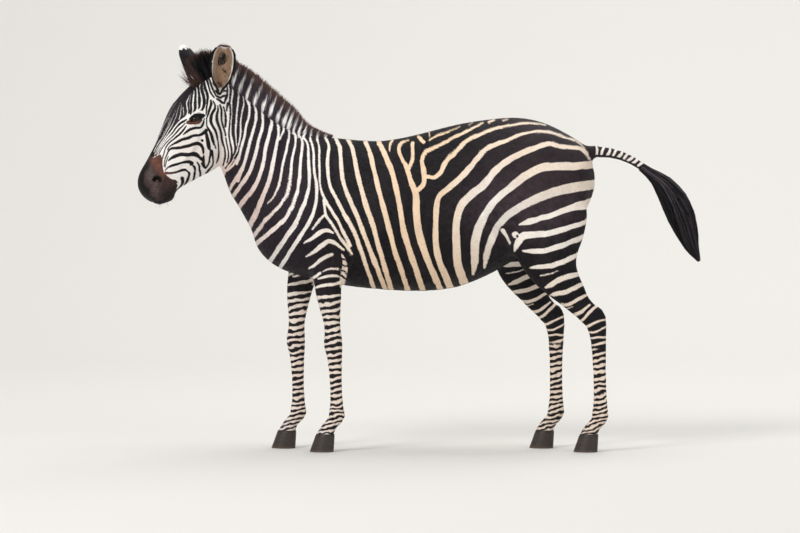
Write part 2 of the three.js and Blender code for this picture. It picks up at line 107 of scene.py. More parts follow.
# Foot and tip of the forelock in the head's frame: down the face, out of it, then half width.
FORELOCK = ((-0.036, -0.110, -0.112, -0.024, 0.012), (-0.020, -0.100, -0.096, 0.012, 0.024),
            (0.010, -0.070, -0.052, 0.046, 0.030), (0.040, -0.050, 0.004, 0.064, 0.030),
            (0.066, -0.040, 0.054, 0.060, 0.024), (0.086, -0.030, 0.086, 0.038, 0.010))
# Rows up an ear: share of its length, half width, depth of the cup, fold of the rims in degrees.
EAR_ROWS = ((0, 0.012, 0.015, 166), (0.06, 0.018, 0.023, 158), (0.12, 0.025, 0.030, 142),
            (0.22, 0.036, 0.036, 120), (0.34, 0.045, 0.037, 103), (0.5, 0.0525, 0.034, 92),
            (0.68, 0.0530, 0.028, 88), (0.82, 0.0480, 0.022, 86), (0.93, 0.033, 0.014, 82),
            (0.975, 0.022, 0.010, 78), (1, 0.007, 0.005, 74))
EAR_LENGTH = 0.196
EAR_GRID = (44, 33)  # rows up an ear's sheets, and points across them
# The foot of each ear in the head's frame, and its turns about x, y and z in degrees.
EARS = {"left": ((0.032, 0.074, -0.108), (8, 6, 0)), "right": ((0.030, -0.074, -0.100), (-8, -23, -124))}
# Rows up a hoof: height, toe, heel and half width, from its middle.
HOOF_ROWS = ((0, -0.064, 0.036, 0.045), (0.038, -0.050, 0.038, 0.042), (0.0636, -0.041, 0.038, 0.039),
             (0.0716, -0.038, 0.037, 0.037))
HOOVES = {"left_front": (-0.377, -0.098), "right_front": (-0.533, 0.098),
          "left_hind": (0.675, -0.104), "right_hind": (0.503, 0.104)}

EYES = ["left_eye", "right_eye"]
EAR_NODES = ["left_ear", "right_ear"]
HAIR_NODES = ["mane", "forelock", "tail_tuft"]
HOOF_NODES = [name + "_hoof" for name in HOOVES]
FLESH = [n for n in sorted(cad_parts) if n not in EYES + EAR_NODES + HAIR_NODES + HOOF_NODES]


def srgb(red, green, blue):
    """A colour of 0-255 levels as Blender's linear values."""
    levels = np.array((red, green, blue)) / 255
    return tuple(float(v) for v in np.where(levels <= 0.04045, levels / 12.92, ((levels + 0.055) / 1.055) ** 2.4))


# ---------------------------------------------------------------- settings
def length(name, description, default):
    return FloatProperty(name=name, description=description, default=default, min=0, unit="LENGTH", precision=4)


def colour(name, description, levels):
    return FloatVectorProperty(name=name, description=description, default=srgb(*levels), size=3, min=0, max=1,
                               subtype="COLOR")


class SkinSettings(bpy.types.PropertyGroup):
    mesh_size: length("Mesh size", "Width of one face of the skin's first mesh", 0.005)
    coat_depth: length("Coat depth", "How far the skin lies inside the outline", 0.0028)
    rounding: IntProperty(name="Rounding", description="How many times the skin's form is evened out", default=150,
                          min=1)
    fold_depth: FloatProperty(name="Fold depth", description="Strength of the folds and muscles", default=1.5,
                              min=0, subtype="FACTOR")


class CoatSettings(bpy.types.PropertyGroup):
    blades: IntProperty(name="Blades", description="How many tufts lie on the body", default=260000, min=0)
    body_length: length("Body length", "Length of a tuft on the body", 0.0120)
    face_length: length("Face length", "Length of a tuft on the face", 0.0065)
    foot_length: length("Foot length", "Length of a tuft on the feet", 0.0075)
    slimness: FloatProperty(name="Slimness", description="Length of a tuft for its width", default=5.5, min=1)


class HairSettings(bpy.types.PropertyGroup):
    mane_locks: IntProperty(name="Mane locks", description="How many locks the mane has", default=15000, min=0)
    forelock_locks: IntProperty(name="Forelock locks", description="How many locks the forelock has", default=3200,
                                min=0)
    tail_strands: IntProperty(name="Tail strands", description="How many strands the tail tuft has", default=11000,
                              min=0)
    ear_hairs: IntProperty(name="Ear hairs", description="How many hairs line one ear", default=1500, min=0)
    lashes: IntProperty(name="Lashes", description="How many lashes one eye has", default=46, min=0)
    whiskers: IntProperty(name="Whiskers", description="How many whiskers the muzzle has", default=90, min=0)


class ColourSettings(bpy.types.PropertyGroup):
    white: colour("White", "Light stripes of the neck and head", (244, 240, 236))
    cream: colour("Cream", "Light stripes of the flank and rump", (238, 206, 168))
    mauve: colour("Mauve", "Light stripes low on the chest", (214, 188, 178))
    black: colour("Black", "Dark stripes of the flank", (17, 14, 18))
    charcoal: colour("Charcoal", "Dark stripes of the neck", (38, 30, 38))
    umber: colour("Umber", "Dark stripes of the haunch", (48, 38, 42))
    # partly a greyer tone of the dark stripes, partly a painted sheen of light over the haunch
    haunch: colour("Haunch", "Greyer dark stripes in the middle of the haunch", (76, 62, 70))
    muzzle: colour("Muzzle", "Skin of the muzzle", (58, 43, 43))
    rust: colour("Rust", "Patch above the nostril and below the eye", (126, 76, 56))
    mane: colour("Mane", "Dark hair of the mane", (50, 40, 50))
    mane_tip: colour("Mane tip", "Tips of the mane and forelock", (112, 80, 66))
    ear_inside: colour("Ear inside", "Hair inside the ears", (170, 136, 106))
    tail: colour("Tail", "Hair of the tail tuft", (18, 16, 22))
    hoof: colour("Hoof", "Horn of the hooves", (58, 50, 46))
    eye: colour("Eye", "The dark of the eye", (16, 10, 8))
    iris: colour("Iris", "The brown round the pupil", (34, 20, 13))
    eye_edge: colour("Eye edge", "The eyeball at its edge", (24, 16, 14))
    hoof_edge: colour("Hoof edge", "Worn horn at the ground", (128, 112, 96))
    # painted highlight: grey on hairs of the tuft's upper side, where the light falls
    tail_highlight: colour("Tail grey", "Greyer hair on the tuft's upper side", (118, 106, 114))


class StageSettings(bpy.types.PropertyGroup):
    floor: colour("Floor", "The studio floor and wall", (214, 212, 208))
    floor_size: length("Floor size", "Width of the studio floor", 60.0)
    lamp_power: FloatProperty(name="Lamp power", description="Strength of the large lamp", default=1000, min=0,
                              unit="POWER")


# ---------------------------------------------------------------- small tools
def ramp(low, high, value):
    """0 below low, 1 above high, with soft ends."""
    t = np.clip((value - low) / (high - low), 0, 1)
    return t * t * (3 - 2 * t)


def unit(vectors):
    return vectors / np.maximum(np.linalg.norm(vectors, axis=-1, keepdims=True), 1e-9)


def turned(axis, angle):
    """A turn about the x, y or z axis (0, 1 or 2)."""
    i, j = ((1, 2), (2, 0), (0, 1))[axis]
    made = np.eye(3)
    made[i, i] = made[j, j] = math.cos(angle)
    made[j, i] = math.sin(angle)
    made[i, j] = -made[j, i]
    return made


def head_axes():
    """Rows: down the face, to the animal's left, out of the face."""
    sine, cosine = math.sin(HEAD_TILT), math.cos(HEAD_TILT)
    return np.array(((-sine, 0, -cosine), (0, -1, 0), (-cosine, 0, sine))) @ turned(2, HEAD_YAW).T


HEAD_AXES = head_axes()


def to_head(points):
    return (points - POLL) @ HEAD_AXES.T


def from_head(points):
    return POLL + np.asarray(points, float) @ HEAD_AXES


def past(cut, points):
    """How far points lie beyond a cut, in metres."""
    place, normal = np.array(cut[0], float), unit(np.array(cut[1], float))
    return (points - place) @ normal


def to_view(points):
    """Where points are seen in the view that the markings are laid out in."""
    offset = points - VIEW_TARGET
    sine, cosine = math.sin(VIEW_RISE), math.cos(VIEW_RISE)
    depth = VIEW_DISTANCE + offset[:, 1] * cosine - offset[:, 2] * sine
    scale = VIEW_SCALE * VIEW_DISTANCE / depth
    across = VIEW_SIZE[0] / 2 + offset[:, 0] * scale
    down = VIEW_SIZE[1] / 2 - (offset[:, 1] * sine + offset[:, 2] * cosine) * scale
    return np.stack((across, down), 1)


def column(table, k):
    return np.array([row[k] for row in table], float)


def axis_at(z, axis, values, **ends):
    """Values given at a leg's joints, at other heights."""
    return np.interp(z, column(axis, 2)[::-1], np.array(values)[::-1], **ends)


def neck_middle(points):
    return np.interp(points[:, 0], column(NECK_MIDDLE, 0), column(NECK_MIDDLE, 1))


def near_side(points):
    """The place on the left side that matches each point: the right side is mirrored, and its legs brought back
    level with the left ones."""
    middle = neck_middle(points)
    body = points.copy()
    body[:, 1] = middle - np.abs(points[:, 1] - middle)
    z = points[:, 2]
    low = ramp(0.98, 0.80, z) * ramp(0.0, 0.04, points[:, 1])
    for axis, reach, way in ((FORE_AXIS, FORE_REACH, 1), (HIND_AXIS, HIND_REACH, -1)):
        shift = axis_at(z, axis, reach)
        # whole on the leg, and fading out over the belly between the legs
        inwards = way * (points[:, 0] + shift - axis_at(z, axis, column(axis, 0)))
        body[:, 0] += low * shift * ramp(0.34, 0.09, inwards) * (way * points[:, 0] < 0.1)
    inside = to_head(points)
    inside[:, 1] = np.abs(inside[:, 1])
    share = ramp(-0.03, 0.03, past(HEAD_CUT, points))[:, None]
    return body + share * (from_head(inside) - body)


def rows_at(at, way, table):
    """The rows of a table at places along its way."""
    return np.stack([np.interp(at, way, column(table, k)) for k in range(len(table[0]))], 1)


def way_along(points):
    """How far along a path each of its places is."""
    return np.concatenate(((0,), np.cumsum(np.linalg.norm(np.diff(points, axis=0), axis=1))))


def curve(points, closeness=2.0):
    """A smooth path through points, with places about closeness apart and each place's share of the way."""
    points = np.asarray(points, float)
    if len(points) < 3:
        return points, np.linspace(0, 1, len(points))
    ends = np.vstack((2 * points[0] - points[1], points, 2 * points[-1] - points[-2]))
    made, shares = [], []
    for i in range(len(points) - 1):
        p0, p1, p2, p3 = ends[i:i + 4]
        count = max(2, int(np.linalg.norm(p2 - p1) / closeness))
        for t in np.arange(count) / count:
            made.append(0.5 * (2 * p1 + (p2 - p0) * t + (2 * p0 - 5 * p1 + 4 * p2 - p3) * t * t
                               + (3 * p1 - p0 - 3 * p2 + p3) * t ** 3))
            shares.append((i + t) / (len(points) - 1))
    made.append(points[-1])
    shares.append(1.0)
    return np.array(made), np.array(shares)


def numbers(text):
    return [tuple(float(v) for v in pair.split(",")) for pair in text.split()]


def close_to(path, spots, reach):
    """Which spots lie in the path's box, widened by reach."""
    return np.all((spots > path.min(0) - reach) & (spots < path.max(0) + reach), 1)


def nearest_on(path, halves, spots):
    """For each spot, the greatest of half width less distance over the pieces of a path."""
    best = np.full(len(spots), -1e9)
    for a, b, half_a, half_b in zip(path[:-1], path[1:], halves[:-1], halves[1:]):
        line = b - a
        t = np.clip((spots - a) @ line / max(line @ line, 1e-9), 0, 1)
        distance = np.linalg.norm(spots - a - t[:, None] * line, axis=1)
        best = np.maximum(best, half_a + (half_b - half_a) * t - distance)
    return best


# ---------------------------------------------------------------- markings
# A stroke starts with "/" and has three parts between colons: how it runs on past its ends ("a" before the first
# place, "z" and "Z" past the last), its widths along the way, and its places in the view, in pixels of 4 mm.
RUN_ON = {"a": 14.0, "z": 14.0, "Z": 48.0}
BODY_WHITES = """
/:1 1.2 1.7 1.7 1.6 1.8 2 2 2 1.6 1:230,83.9 233,89 233.4,93.5 231.8,100.7 231.6,108 232,115 231.2,124
231,133 232.5,141.7 233.6,149 233.4,154
/:1.2 1.3 1.8 2 2 2 2 1.7 1.4:235.2,85.7 238.4,91 238.8,98 238,106.2 236.8,113.5 236.4,122 236.1,133
236.1,142 236.4,146
/z:2 1.1 1.8 2 2 2.2 2 2 1.7 1.4 1:239.5,86.6 242.3,92.5 244,99 243.4,106.2 242,114 240.7,122 240.7,133
240,140.4 238.2,146.7 236.4,152.6 233.4,159
/z:1.2 1.8 2.2 2.2:234.5,159.5 231.8,162.6 229,165.8 226,170
/z:2.6 3 3 3 3 3 3 2.8:246,95 248.5,101 250,108 248.8,117.5 246.3,126 244.8,135 243,142.5 240.6,151
/z:2.8 2.6 2.6 2.6:240.6,151 237.5,159 232.5,166 226,171
/z:3 3 3 3.2 3.4 3.6 4 4:254.5,102 256,110 256,120 253.6,130 250.6,140 248,150 245.6,159 242.5,167.5
/z:4 4 4:242.5,167.5 237.5,176 234.4,181
/z:3 3.2 3.4 3.6 4 4.4 4.6 4.6:262.5,108 263.2,118 262,130 258.8,140 256.3,151 253.2,162 249,173 237.5,190
/z:3 3.5 3.6 3.8 4 4.4 4.8 5 5 5:270,112 271.9,119 270.6,129 268,139 265.6,149 263.8,160 260,174 254,187
245,199 239,207
/z:2.6 3 3.2 3.8 4.4 5 5.6 6 6:277,120 278.8,127 278.8,134 277,143 273.8,158 270,178 263.8,195 257,210
250,224
/:2.4 2.6 2.4 2:283.5,123 284,128 282.6,134.5 279.4,140
/:2 2.7 2.7 2.7 3 2.8 1.6:288,124 289.4,131 287.6,144 283.4,162 280.6,177.5 276.5,191 267.5,204
/z:2.4 2.6 3 3.4 3.6 4 4.4 4.4:293,129 296,139 292,158 290.2,176 286.5,193.5 278.8,206 267,218 257,231
/Z:2.4 2.8 3.2 3.8 4.2 4.8 5 4.8:298.5,134 302.5,142 300.8,160 298.4,184 294,201 286,217.5 276,227 264,237
/Z:2.2 2.8 3.2 3.6 4.2 4.8 5 5:303.5,136 307.5,144 308.6,160 309.4,182 306,199 299.5,214 293.8,226 283,242
/Z:2 2.6 3 3.4 3.8 4.4 4.6:310.5,139 313.4,150 314.4,172 316.8,190 315,206 308.8,222.5 299,238
/az:1.8 2 2.2 2.4 2.8 3 3 3:317,136 319.2,146 319.4,170 321,189 326,201 333,213 339,223 344,234
/z:2.6 3 3 3 2.6:323.8,200 326,215 332,224 338,233.5 344,243
/aZ:2.8 3 3.2 3.4 3.6 4 4 4:325,136 328.6,145 327.6,163 329.6,184 338,202 347,219 355,234 360.5,250
/aZ:3.6 4 4 4.2 4.6 4.6 4.6 4.6:335.6,137 340,149 341.2,168 344.5,187 351.5,204 358.8,220 365,237.5 371,253
/aZ:3.8 4 4.4 4.8 5 5 5 5:348,139 353,150 356.2,168 361,188 367,208.5 373,226 378,245 383,262
/aZ:3.8 4.2 4.8 5 5.2 5 5 5:365,140 370,153 374.6,173 380,195 385.6,216 390.5,235 395,252 401,270
/aZ:4.4 4.8 5.2 5.4 5.6 6 6 6:378,140 384,152.5 391.5,171 397,193 401.4,217 404.5,234 409.4,250 416,270
/:2.6 2.4 1.4:392,140 390,145 389.4,150
/Z:1.6 3.2 3.6 3.8 5 6 7.4 7.4 7 6.6 6 6:408.5,139.4 401,142.5 398.8,149.5 402,159 407,168 411,182 415.8,195
416.3,212 419,233 424,250 431,268.5 437,282
/:3.4 4 4 3.4:412.5,142.5 412.5,152.5 411.5,161 408.5,168
/:5 5 4.6 4.2 4 3.6 3 2.6 1.8:419,189 424,182.5 423.6,170 422,160 426,151 438.8,145 453.8,137 469,129.4
483,122.5
/:3.4 4 4.8 4.8 4.6 4.2 3.6 3.2 2.6 1.8 1.2:426,176 433.8,177.5 441,171.5 446,161 456,151 467.5,140 482,133
497.5,127.5 515,124 531,122.5 546,124.6
/:3.4 3.6:418.6,136.4 423.6,141.6
/:1.6 2 2 1.2:429,140 437,135 448,131.4 460,126
/:1.6 1.2:429,131 429.5,136
/:1.6 1:469,124.4 473,121.6
/:3.4 2.4:489,121.4 494,119.4
/:1.8 1.2:503,120 508,118.8
/a:7 6.8 6.6 6 5.6 5.6 6 6 5.4 4.6 3.6 2.8 3 2.4 2 1.8 1.4:446,277.5 439.6,262 436,245 435.8,222 438,199
448,188.6 462,176.4 474,162.6 486,148.6 505,141 521,134 537.5,131 551,132 564,136.4 577.5,141 583,146
588,153
/a:8 8.8 8.4 7.6 7.4 7.8 8 7.6 6.6 6 5 4.6 4 3 2.2:465,285 459,268 456.6,247.5 456.4,224 461,206 472,194
484,184.6 495,171 509,160 530,149.4 549,143.6 563.8,146.5 580,148 586,153 590,159
/:3 7.6 9 8.6 7.4 7 7.6 8.2 8.4 8 8 7.6:473,274 475,262 475.2,243 479.6,226.5 487,211.6 497.6,198
510.8,187.4 526,175.4 543.8,167.2 560,166.2 580,165.8 597,164
/:3 6.6 7.2 7.4 7.8 8 8.6 9.6 9.8 9.4:484.6,268 487,255 491.5,240 499,225 509,214.6 523,205.6 541,197
560,190.6 580,186.5 600,183.4
/:2 6.4 5.4 5.2 6 8.4 11 11.6:520,225 529,221.6 538,219.4 552,215 566,209.6 580,205.8 593.8,203 604,202
/:2 6.6 7 6.2 6 5.2 4.6 4:514,252 517.6,243 524,235.6 540,234.2 555,232 570,227 584,222.8 596,215
/:2 5 5.6 5.6 5.4 5 4:522,251 531,251.2 545,250.6 558,246.6 570,242.5 579,239 590,233
/:2 4.6 5.2 5.2 5 4:530,268 538,267 551,266.2 563,261.8 573,257.6 587,250
/:2 5.2 5.6 5.4 4:545,288 551,285 560,279.6 570,276.2 586,272
/:1.4 1.6 1.2:540,276 550,274 558,271
/:2 4.8 5 4.8 3.6:550,295 556,294.4 566,292 576,287.6 588,281
/:1.6 3.6 3.6 3:555,307 562,305.2 571,303.6 588,294
/:1 1.6 1:560,311.4 567,309 573,307
/:2 3.4 3.4 2.4:566,318 574,315.4 581,312.4 590,305
/:1.6 3 3 3 2.6:570,326 577,323 583,319.4 589,313.4 597,305
/:1.6 2.6 2.8 2.4 2.2:572,332 580,329.4 589,326.2 596,322.4 608,318.6
/:1.6 2 2.2 2:574,334.4 584,333.2 596,331.8 609,325.4
/:1.6 2 2.2 2.4 2.4:578,340.6 588,339 597,337.2 604,337.6 612,338
/:2 2.6 3 3:584,347 593,345.6 600,344 610,341.6
/:2.2 3 2.4:312,229.4 318,222 324,215
/:2 4.2 4.8 3.8 2:304,243.6 313,237.4 321,231.6 328,230.4 333,233
/:2 4.4 4.8 4.4 3.4 2:306,257 316,250.4 323.6,244.4 330,241.2 337.5,245 344,250.4
/:2 3.8 4.2 3.4:309,269 318,262.6 325,257.4 332,254.6
/:1.6 3 3:307,281 314,277.4 320,273.4
/:1.6 3 2.8 2.2:318,279 325,276.8 333,275.8 342,277.4
/:1.6 3.4 3.6 3 2.6:312,289 321,286.2 330,284.8 338,283.6 343,282.4
/:1 1.8 2.2 2.2 2.4:321,272.4 327,269.6 333,268.6 338,269.6 343,272
/:2 4.4 5.6 5.4 3.6:342,254.6 344.4,262 344.6,270 343.8,279 342,286.4
"""
BODY_BLACKS = """
/:8 10 9 6:508,257 510,264 511,272 512,280
/:1 1.6 1.2:339,258.4 343,259.4 347,261.4
/:1.2 1.8 1.4:339,264 343,265.4 347.6,267.8
/:1 1.6 1.2:338.6,270.2 342.6,271.4 347.4,274.4
/:1.2 1.8 1.4:338.6,275.4 343,277 347.4,280
"""
STIFLE_WHITES = """
/:4 2.6:503.4,231 510,243.4
/:6.6 6.6:515.4,235 515.8,235.4
"""
STIFLE_BLACKS = """
/:2 2.2:517,236 517.2,236.8
"""
DOCK_WHITES = """
/:2 2.6 2:589.4,144 591,149 592.4,156
/:1.8 2.4 1.8:595.8,144.6 597,150 596.4,157
/:2 2.8 1.8:604,146.4 602.4,152 599.4,157.6
/:2.4 2.8 1.8:610.4,147.4 609,152.6 605.8,157.8
/:2.2 2.8 1.8:616.4,148.8 614.8,153.2 610.8,158.6
/:2 3 1.8:623,150.4 620.6,154.6 615.6,160.2
/:2.2 3 2:629,152.6 625.4,156.8 620,162
/:2.4 3 2:634.8,155 630.4,159 624.8,164
/:2.4 3 2:640.2,157.6 635.6,161.2 630,166
/:2.2 2.8 1.8:645.8,160.4 641,163.8 635.2,168.2
/:2 2.6 1.6:651,163.8 646.2,166.8 640.6,170.6
/:1.8 2.4:655,167.4 650.8,170
"""
# White wedges at the foot of the mane: the foot, then how far each runs along and up, all in pixels.
MANE_FEET = ((233, 85, 8, 19), (239.5, 91, 6.5, 16.5), (246.6, 98, 7.4, 19), (254.4, 104.4, 8.6, 19),
             (262.3, 110, 8.8, 17), (269.9, 115, 7.4, 18), (277, 121, 7.4, 18), (283.4, 125.4, 7.2, 18),
             (288.2, 129, 7, 19), (293.2, 133, 6.6, 19), (298.6, 137, 4.4, 18), (303.6, 139, 3.8, 16),
             (310.2, 141, 1.4, 12), (317, 139.6, 2, 11), (325, 138, 3, 9))
MANE_WHITES = "".join(
    "/:" + " ".join(f"{w * (1 - 0.045 * abs(k - 4)):.2f}" for w in (2.4, 4.2, 2.2, 1.2, 0.5))
    + ":" + " ".join(f"{x + along * t ** 1.45:.2f},{y - up * t:.2f}" for t in (0, 0.24, 0.5, 0.76, 1))
    for k, (x, y, along, up) in enumerate(MANE_FEET))
# The brow and forehead, from the ridge of the nose back to the ear
BROW_BLACKS = """
/a:14 13 11 10 9 8 5 3:196,74 190,86 184,97 177,107.5 171.5,115 169,121 166.6,127 163.4,133
/:4 4 3.4 2.4:181,103 180,109 178.5,115 177,119.4
/:3 3 3 2.4 1.6:186.4,88 184.4,96 184.4,104 185,110 185.2,115
/a:1.2 2 2 2.4 2.6 1.6:192.8,86 192.4,92 191.4,99 190.8,105 191,109 190.4,113.4
/a:1 1.8 2.2 2.6 2.6 1.6:195,86 195,92 195.8,97 195.2,103 195.4,108 193.8,112
/a:1.8 2.2 2.6 2.8 2.4:197.6,84 198.6,90 199.6,96 199.7,102 198.8,107.6
/a:1.8 2.2 2.6 2.8 2.6 2 1:201.2,82 202,89.4 203.6,95 204.4,101 204.2,105.5 202,109.8 198.6,111.8
/a:2 2.2 2.2 2.2 2 1.6 1 .7:203.9,81 205,88 207.2,93 208,98 207.4,103.5 207,108 206.8,111 206.6,114
/a:1.8 1.6 1.6 1.4 1:207.4,81 208.9,86.2 210.4,91 212.6,95 214.4,97.6
/a:1.2 1.2 1:212.4,87 214.4,91.8 216.8,96.4
"""
# Behind the eye, from the knot below the ear down the cheek
TEMPLE_BLACKS = """
/:.8 1.8 1.8 1.8 1.6 1.2 .8 .8 1:210.9,100.4 211.4,103.5 210.9,106.2 210,109.4 209,112 208.3,114.8 207.4,118
207.1,122 207.1,126
/:1 2 2.6 2.6 2.2 1:207.1,126 209.2,130.4 210.9,134.4 212.2,138.4 213.3,141.6 214.1,144.6
/:.8 1.6 2 2.2 2.4 2.4 2.2 2.2 2 1.2:213,101.4 215.2,105.3 214.8,109 212.5,113 211.2,117.4 211.2,122
213.2,126.6 215.4,130.6 216.9,136 217.8,140.6
/:.8 1.8 2.2 2.2 2 2 2 1.6 1.2 1.2 1.4 1.4 1.2 .8:218.4,105.6 218.4,109.8 217.2,114 217.2,119.4 218.6,124.4
220.2,128.8 221.4,133.4 222,138.5 223.2,144 224.4,149 224.9,154 224.8,158.6 223.8,162.6 222.4,166
/:.8 1.3 1.7 1.7 1.4 1 1.2:220.3,104.8 221.8,109.4 222,114.4 222.5,120.6 224,127 225.5,132.4 225.8,135.6
/:1 1.2 1.2 1.2 1.2 .8:226,138 226.9,143.4 228,148 228.6,152.6 228.2,157.6 227,163
/:.8 1.2 1.6 1.4 .9:223.6,107 225,111 226,116 226.1,121.6 225.9,127
/:1.4 1.4 .8:228.4,103 227.7,107.4 227.2,111
/a:2.4 2.6 2.2 1.4 1.4 1.6 1.4 1.4 1.2 1 1.2 1.4 1.4 1.2 .8:230.6,83 231.4,88.8 230.6,96 229.6,103
230.8,108.6 230.8,116 229.9,123.4 229.1,130.4 229.4,136.8 230.7,143 231.8,149 231.9,154 230.6,160
228.6,164.6 225.6,169
"""
# Short bars below the ear
BARS_BELOW_EAR = """
/:1.4 2.2 2.2 1.2:216,90.6 218,93 220.2,93.8 222.6,92
/:1.4 1.8 1.4 1.2:222.4,91.8 224,91 225.6,90.6 227.2,91
/:1.4 1.7 1.8 1.5:217.4,96 220.6,97.6 222.8,96.4 226.4,95.6
/:1.3 1.8 2 1.8:217.4,98.9 220.6,100.8 222.4,102.8 225,103.4
/:1.2 2 1.6 1:228,94.6 226.6,98 225.8,101 224.6,103.6
/:1 1.4 1:222.8,87.4 225.4,86.4 227.8,84
/:1 1.6 1.2:227.2,85 227.8,90 227.2,96
"""
# Below the eye
BELOW_EYE_BLACKS = """
/:.6 1.6 2.2 2 1.6 1.8 1.8 1.2 .7:183.2,134.6 186.4,131.8 190.4,129.2 195.5,128.3 198.8,128 201.2,126.9
203,124.2 203.9,121.2 204.5,118.6
/:3 2.8 2.2 2 2.2 2.6 2.4 2.2 1.8 1.2 .8 .8:206.4,130.4 204.6,132.8 201.4,134.6 197.3,135.3 193,135.8
189.1,137.4 185,138.8 180.6,140.4 176.6,142.4 172.8,144.4 169.6,146.8 167.6,150
/:2.4 2.4:202.4,140.8 202.7,141
/:1.4 2.2 3 3.2 2.8 1.4:206,132 207,137 207.9,141 208.5,145 208.9,147.4 209.1,149
/:2.6 2.2 1.4 1 1.2 1.4 1.6 1.4:210.8,150.6 210.6,154 209.8,157.8 209.5,161.6 208.2,165 206.2,167.8
203.6,166.6 202,163.4
/:2.2 1.8 1.2 1 1 1.2 1.6 1.6:211.6,151 212.6,155.2 213.3,159 213.6,162.4 213.1,165.6 211.4,168 209,170.6
206.8,173.4
/:.8 .6:214.6,145 215.8,148.6
/:1.2 1.2 1.3 1.7 1.7 1.2 .6:218.4,142 218.6,146 219,150 219.2,153.6 218.8,157.2 217.8,160.4 216.6,163
"""
# The arches of the cheek
CHEEK_ARCHES = """
/:1 2 2.8 3 3 3 2.8 2.6 2.4 2.2 2.2 1.8 1 .6:203.5,153.6 203.3,150.4 202.6,147.6 200.8,145.2 198,143.9
194.4,144 190.9,144.8 186.6,146 182,147.2 177,148 172.6,148.4 169.6,150 168,152.6 167,155.4
/:.8 2.2 2.6 1.8 1.6 1.2:204,155.6 203.5,158.4 203.4,161 203.8,163.4 204.6,166 206,168.4
/:2.6 1.6:200.6,158 202.6,160.4
/:1.8 3.2 4 3.8 3.4 3.2 3 2.8 2.6 2 1.2:199.8,157.4 198.2,156 195.6,154.9 192,154.6 188,154.7 184,154.4
180,154.3 176.4,155.4 173.2,157 170.6,158.7 168.6,160.6
/:1.8 2.6 2.6 2.4 2.2 2 2 1.6 1.1 .7:191,164.6 192,163.2 190.4,162.2 186.6,162.3 182,163.1 177,164
173.4,164.8 170,166.2 167.6,167.8 165.4,170.4
/:1 2 2 1.8 1.8 1.6 1.2:192.8,165.2 194.4,167 195.2,169.6 195.1,172.8 194.6,176.2 194,179.2 192.4,182.4
/:2.6 2 1.7 1.8 2 1.8 1:166,172.8 171,173 175,172.4 179,171.5 183,170.4 185.6,170 187,171.2
/z:1.2 2.4 2.2 2 1.8 1.4:187.8,171.4 189.3,173.2 189.3,176.4 188.5,179.2 187.2,182 185.4,185
/z:2.8 2.4 1.6 1.6 1.4:182.6,178.4 183.2,181 182.9,183.6 181.6,185.8 179.6,188.4
/z:.8 1.4 1.4 1.2 1.4 1.2:197.3,162.2 199,164.6 199.9,167.2 200,170.2 200.3,173 200.6,176.6
"""
# Long lines down the nose
NOSE_LINES = """
/:.8 1.6 2 1.6 1.4 1.2 1.1 1 1 1 1:186.4,119.4 183.8,121.2 180.5,123 177.5,125.9 174.8,129.2 172.4,132.4
169.8,135 167,137.8 164.4,141 162,144 159.8,147.4
/:.6 .8 1 1 1 1 1 1 1 .9:185,123.4 181.8,126.6 179,129.4 176.2,132.6 173.4,135.6 170.6,138.2 167.8,140.8
165.2,143.4 162.6,146.6 160.4,150
/:.8 1.2 1.4 1.4 1.4 1.2 1.4 1.3 1.2 1 1:186.2,126 184.2,128.8 181.8,131.6 179.4,134.4 176.6,136.8
173.8,139.2 170.8,141.4 168.2,143.8 166,147 164.6,151 163.6,155
/:.9 .9 .9 .9 .8:169.4,149.4 167.6,153 166,157 164.8,161.4 164.4,166.4
/:.7 .8 .8 .7:168.2,156.4 167,160 166,163.6 165.4,167.4
/:.9 .9 .9 .9:163.4,155 162.4,159 162,163 162.2,167
/:1.3 1.3 1.3 1.2 1.1 1 1 1:177.4,120.6 175.6,123.4 173.4,126.6 171.2,129.8 168.6,133 165.8,136.4 162.8,140
159.6,144
/:1.3 1.2 1.2 1.2 1.2 1.1 1:174.8,119 173,122.4 171.2,126 169.2,129.6 166.4,133.2 163.4,137 160,141.2
/:1.2 1.2 1.2 1.2 1.1 1:171.8,120.6 170.2,124.2 168.4,128 166,131.6 163,135.6 160.4,138.8
/:1 1 1:159.6,144 157.6,147.4 155.6,151
/:1 1 1 .8:159.8,147.4 158.2,150.4 157,153 156,155.4
/:.9 .9 .8:160.4,150 159.2,152.6 158.4,155
/:1.1 1.1 1.1 1:160,141.2 156.4,145.6 153.4,150 151.4,154.4
/:1.2 1.2 1.2 1.4:160.4,138.8 156,143.6 152,149 149,155
"""
HEAD_BLACKS = BROW_BLACKS + TEMPLE_BLACKS + BARS_BELOW_EAR + BELOW_EYE_BLACKS + CHEEK_ARCHES + NOSE_LINES
FOREHEAD = """197,66 205,79 198,86 193.4,92 191.8,99 191,106 190,112 187,114.6 183.6,117.6 180,120.6 177,124
173.6,128.6 170.4,133 167,136.6 163.4,140.8 160,145 157.4,149.6 155.4,155 150,160 136,160 140,120 175,80"""
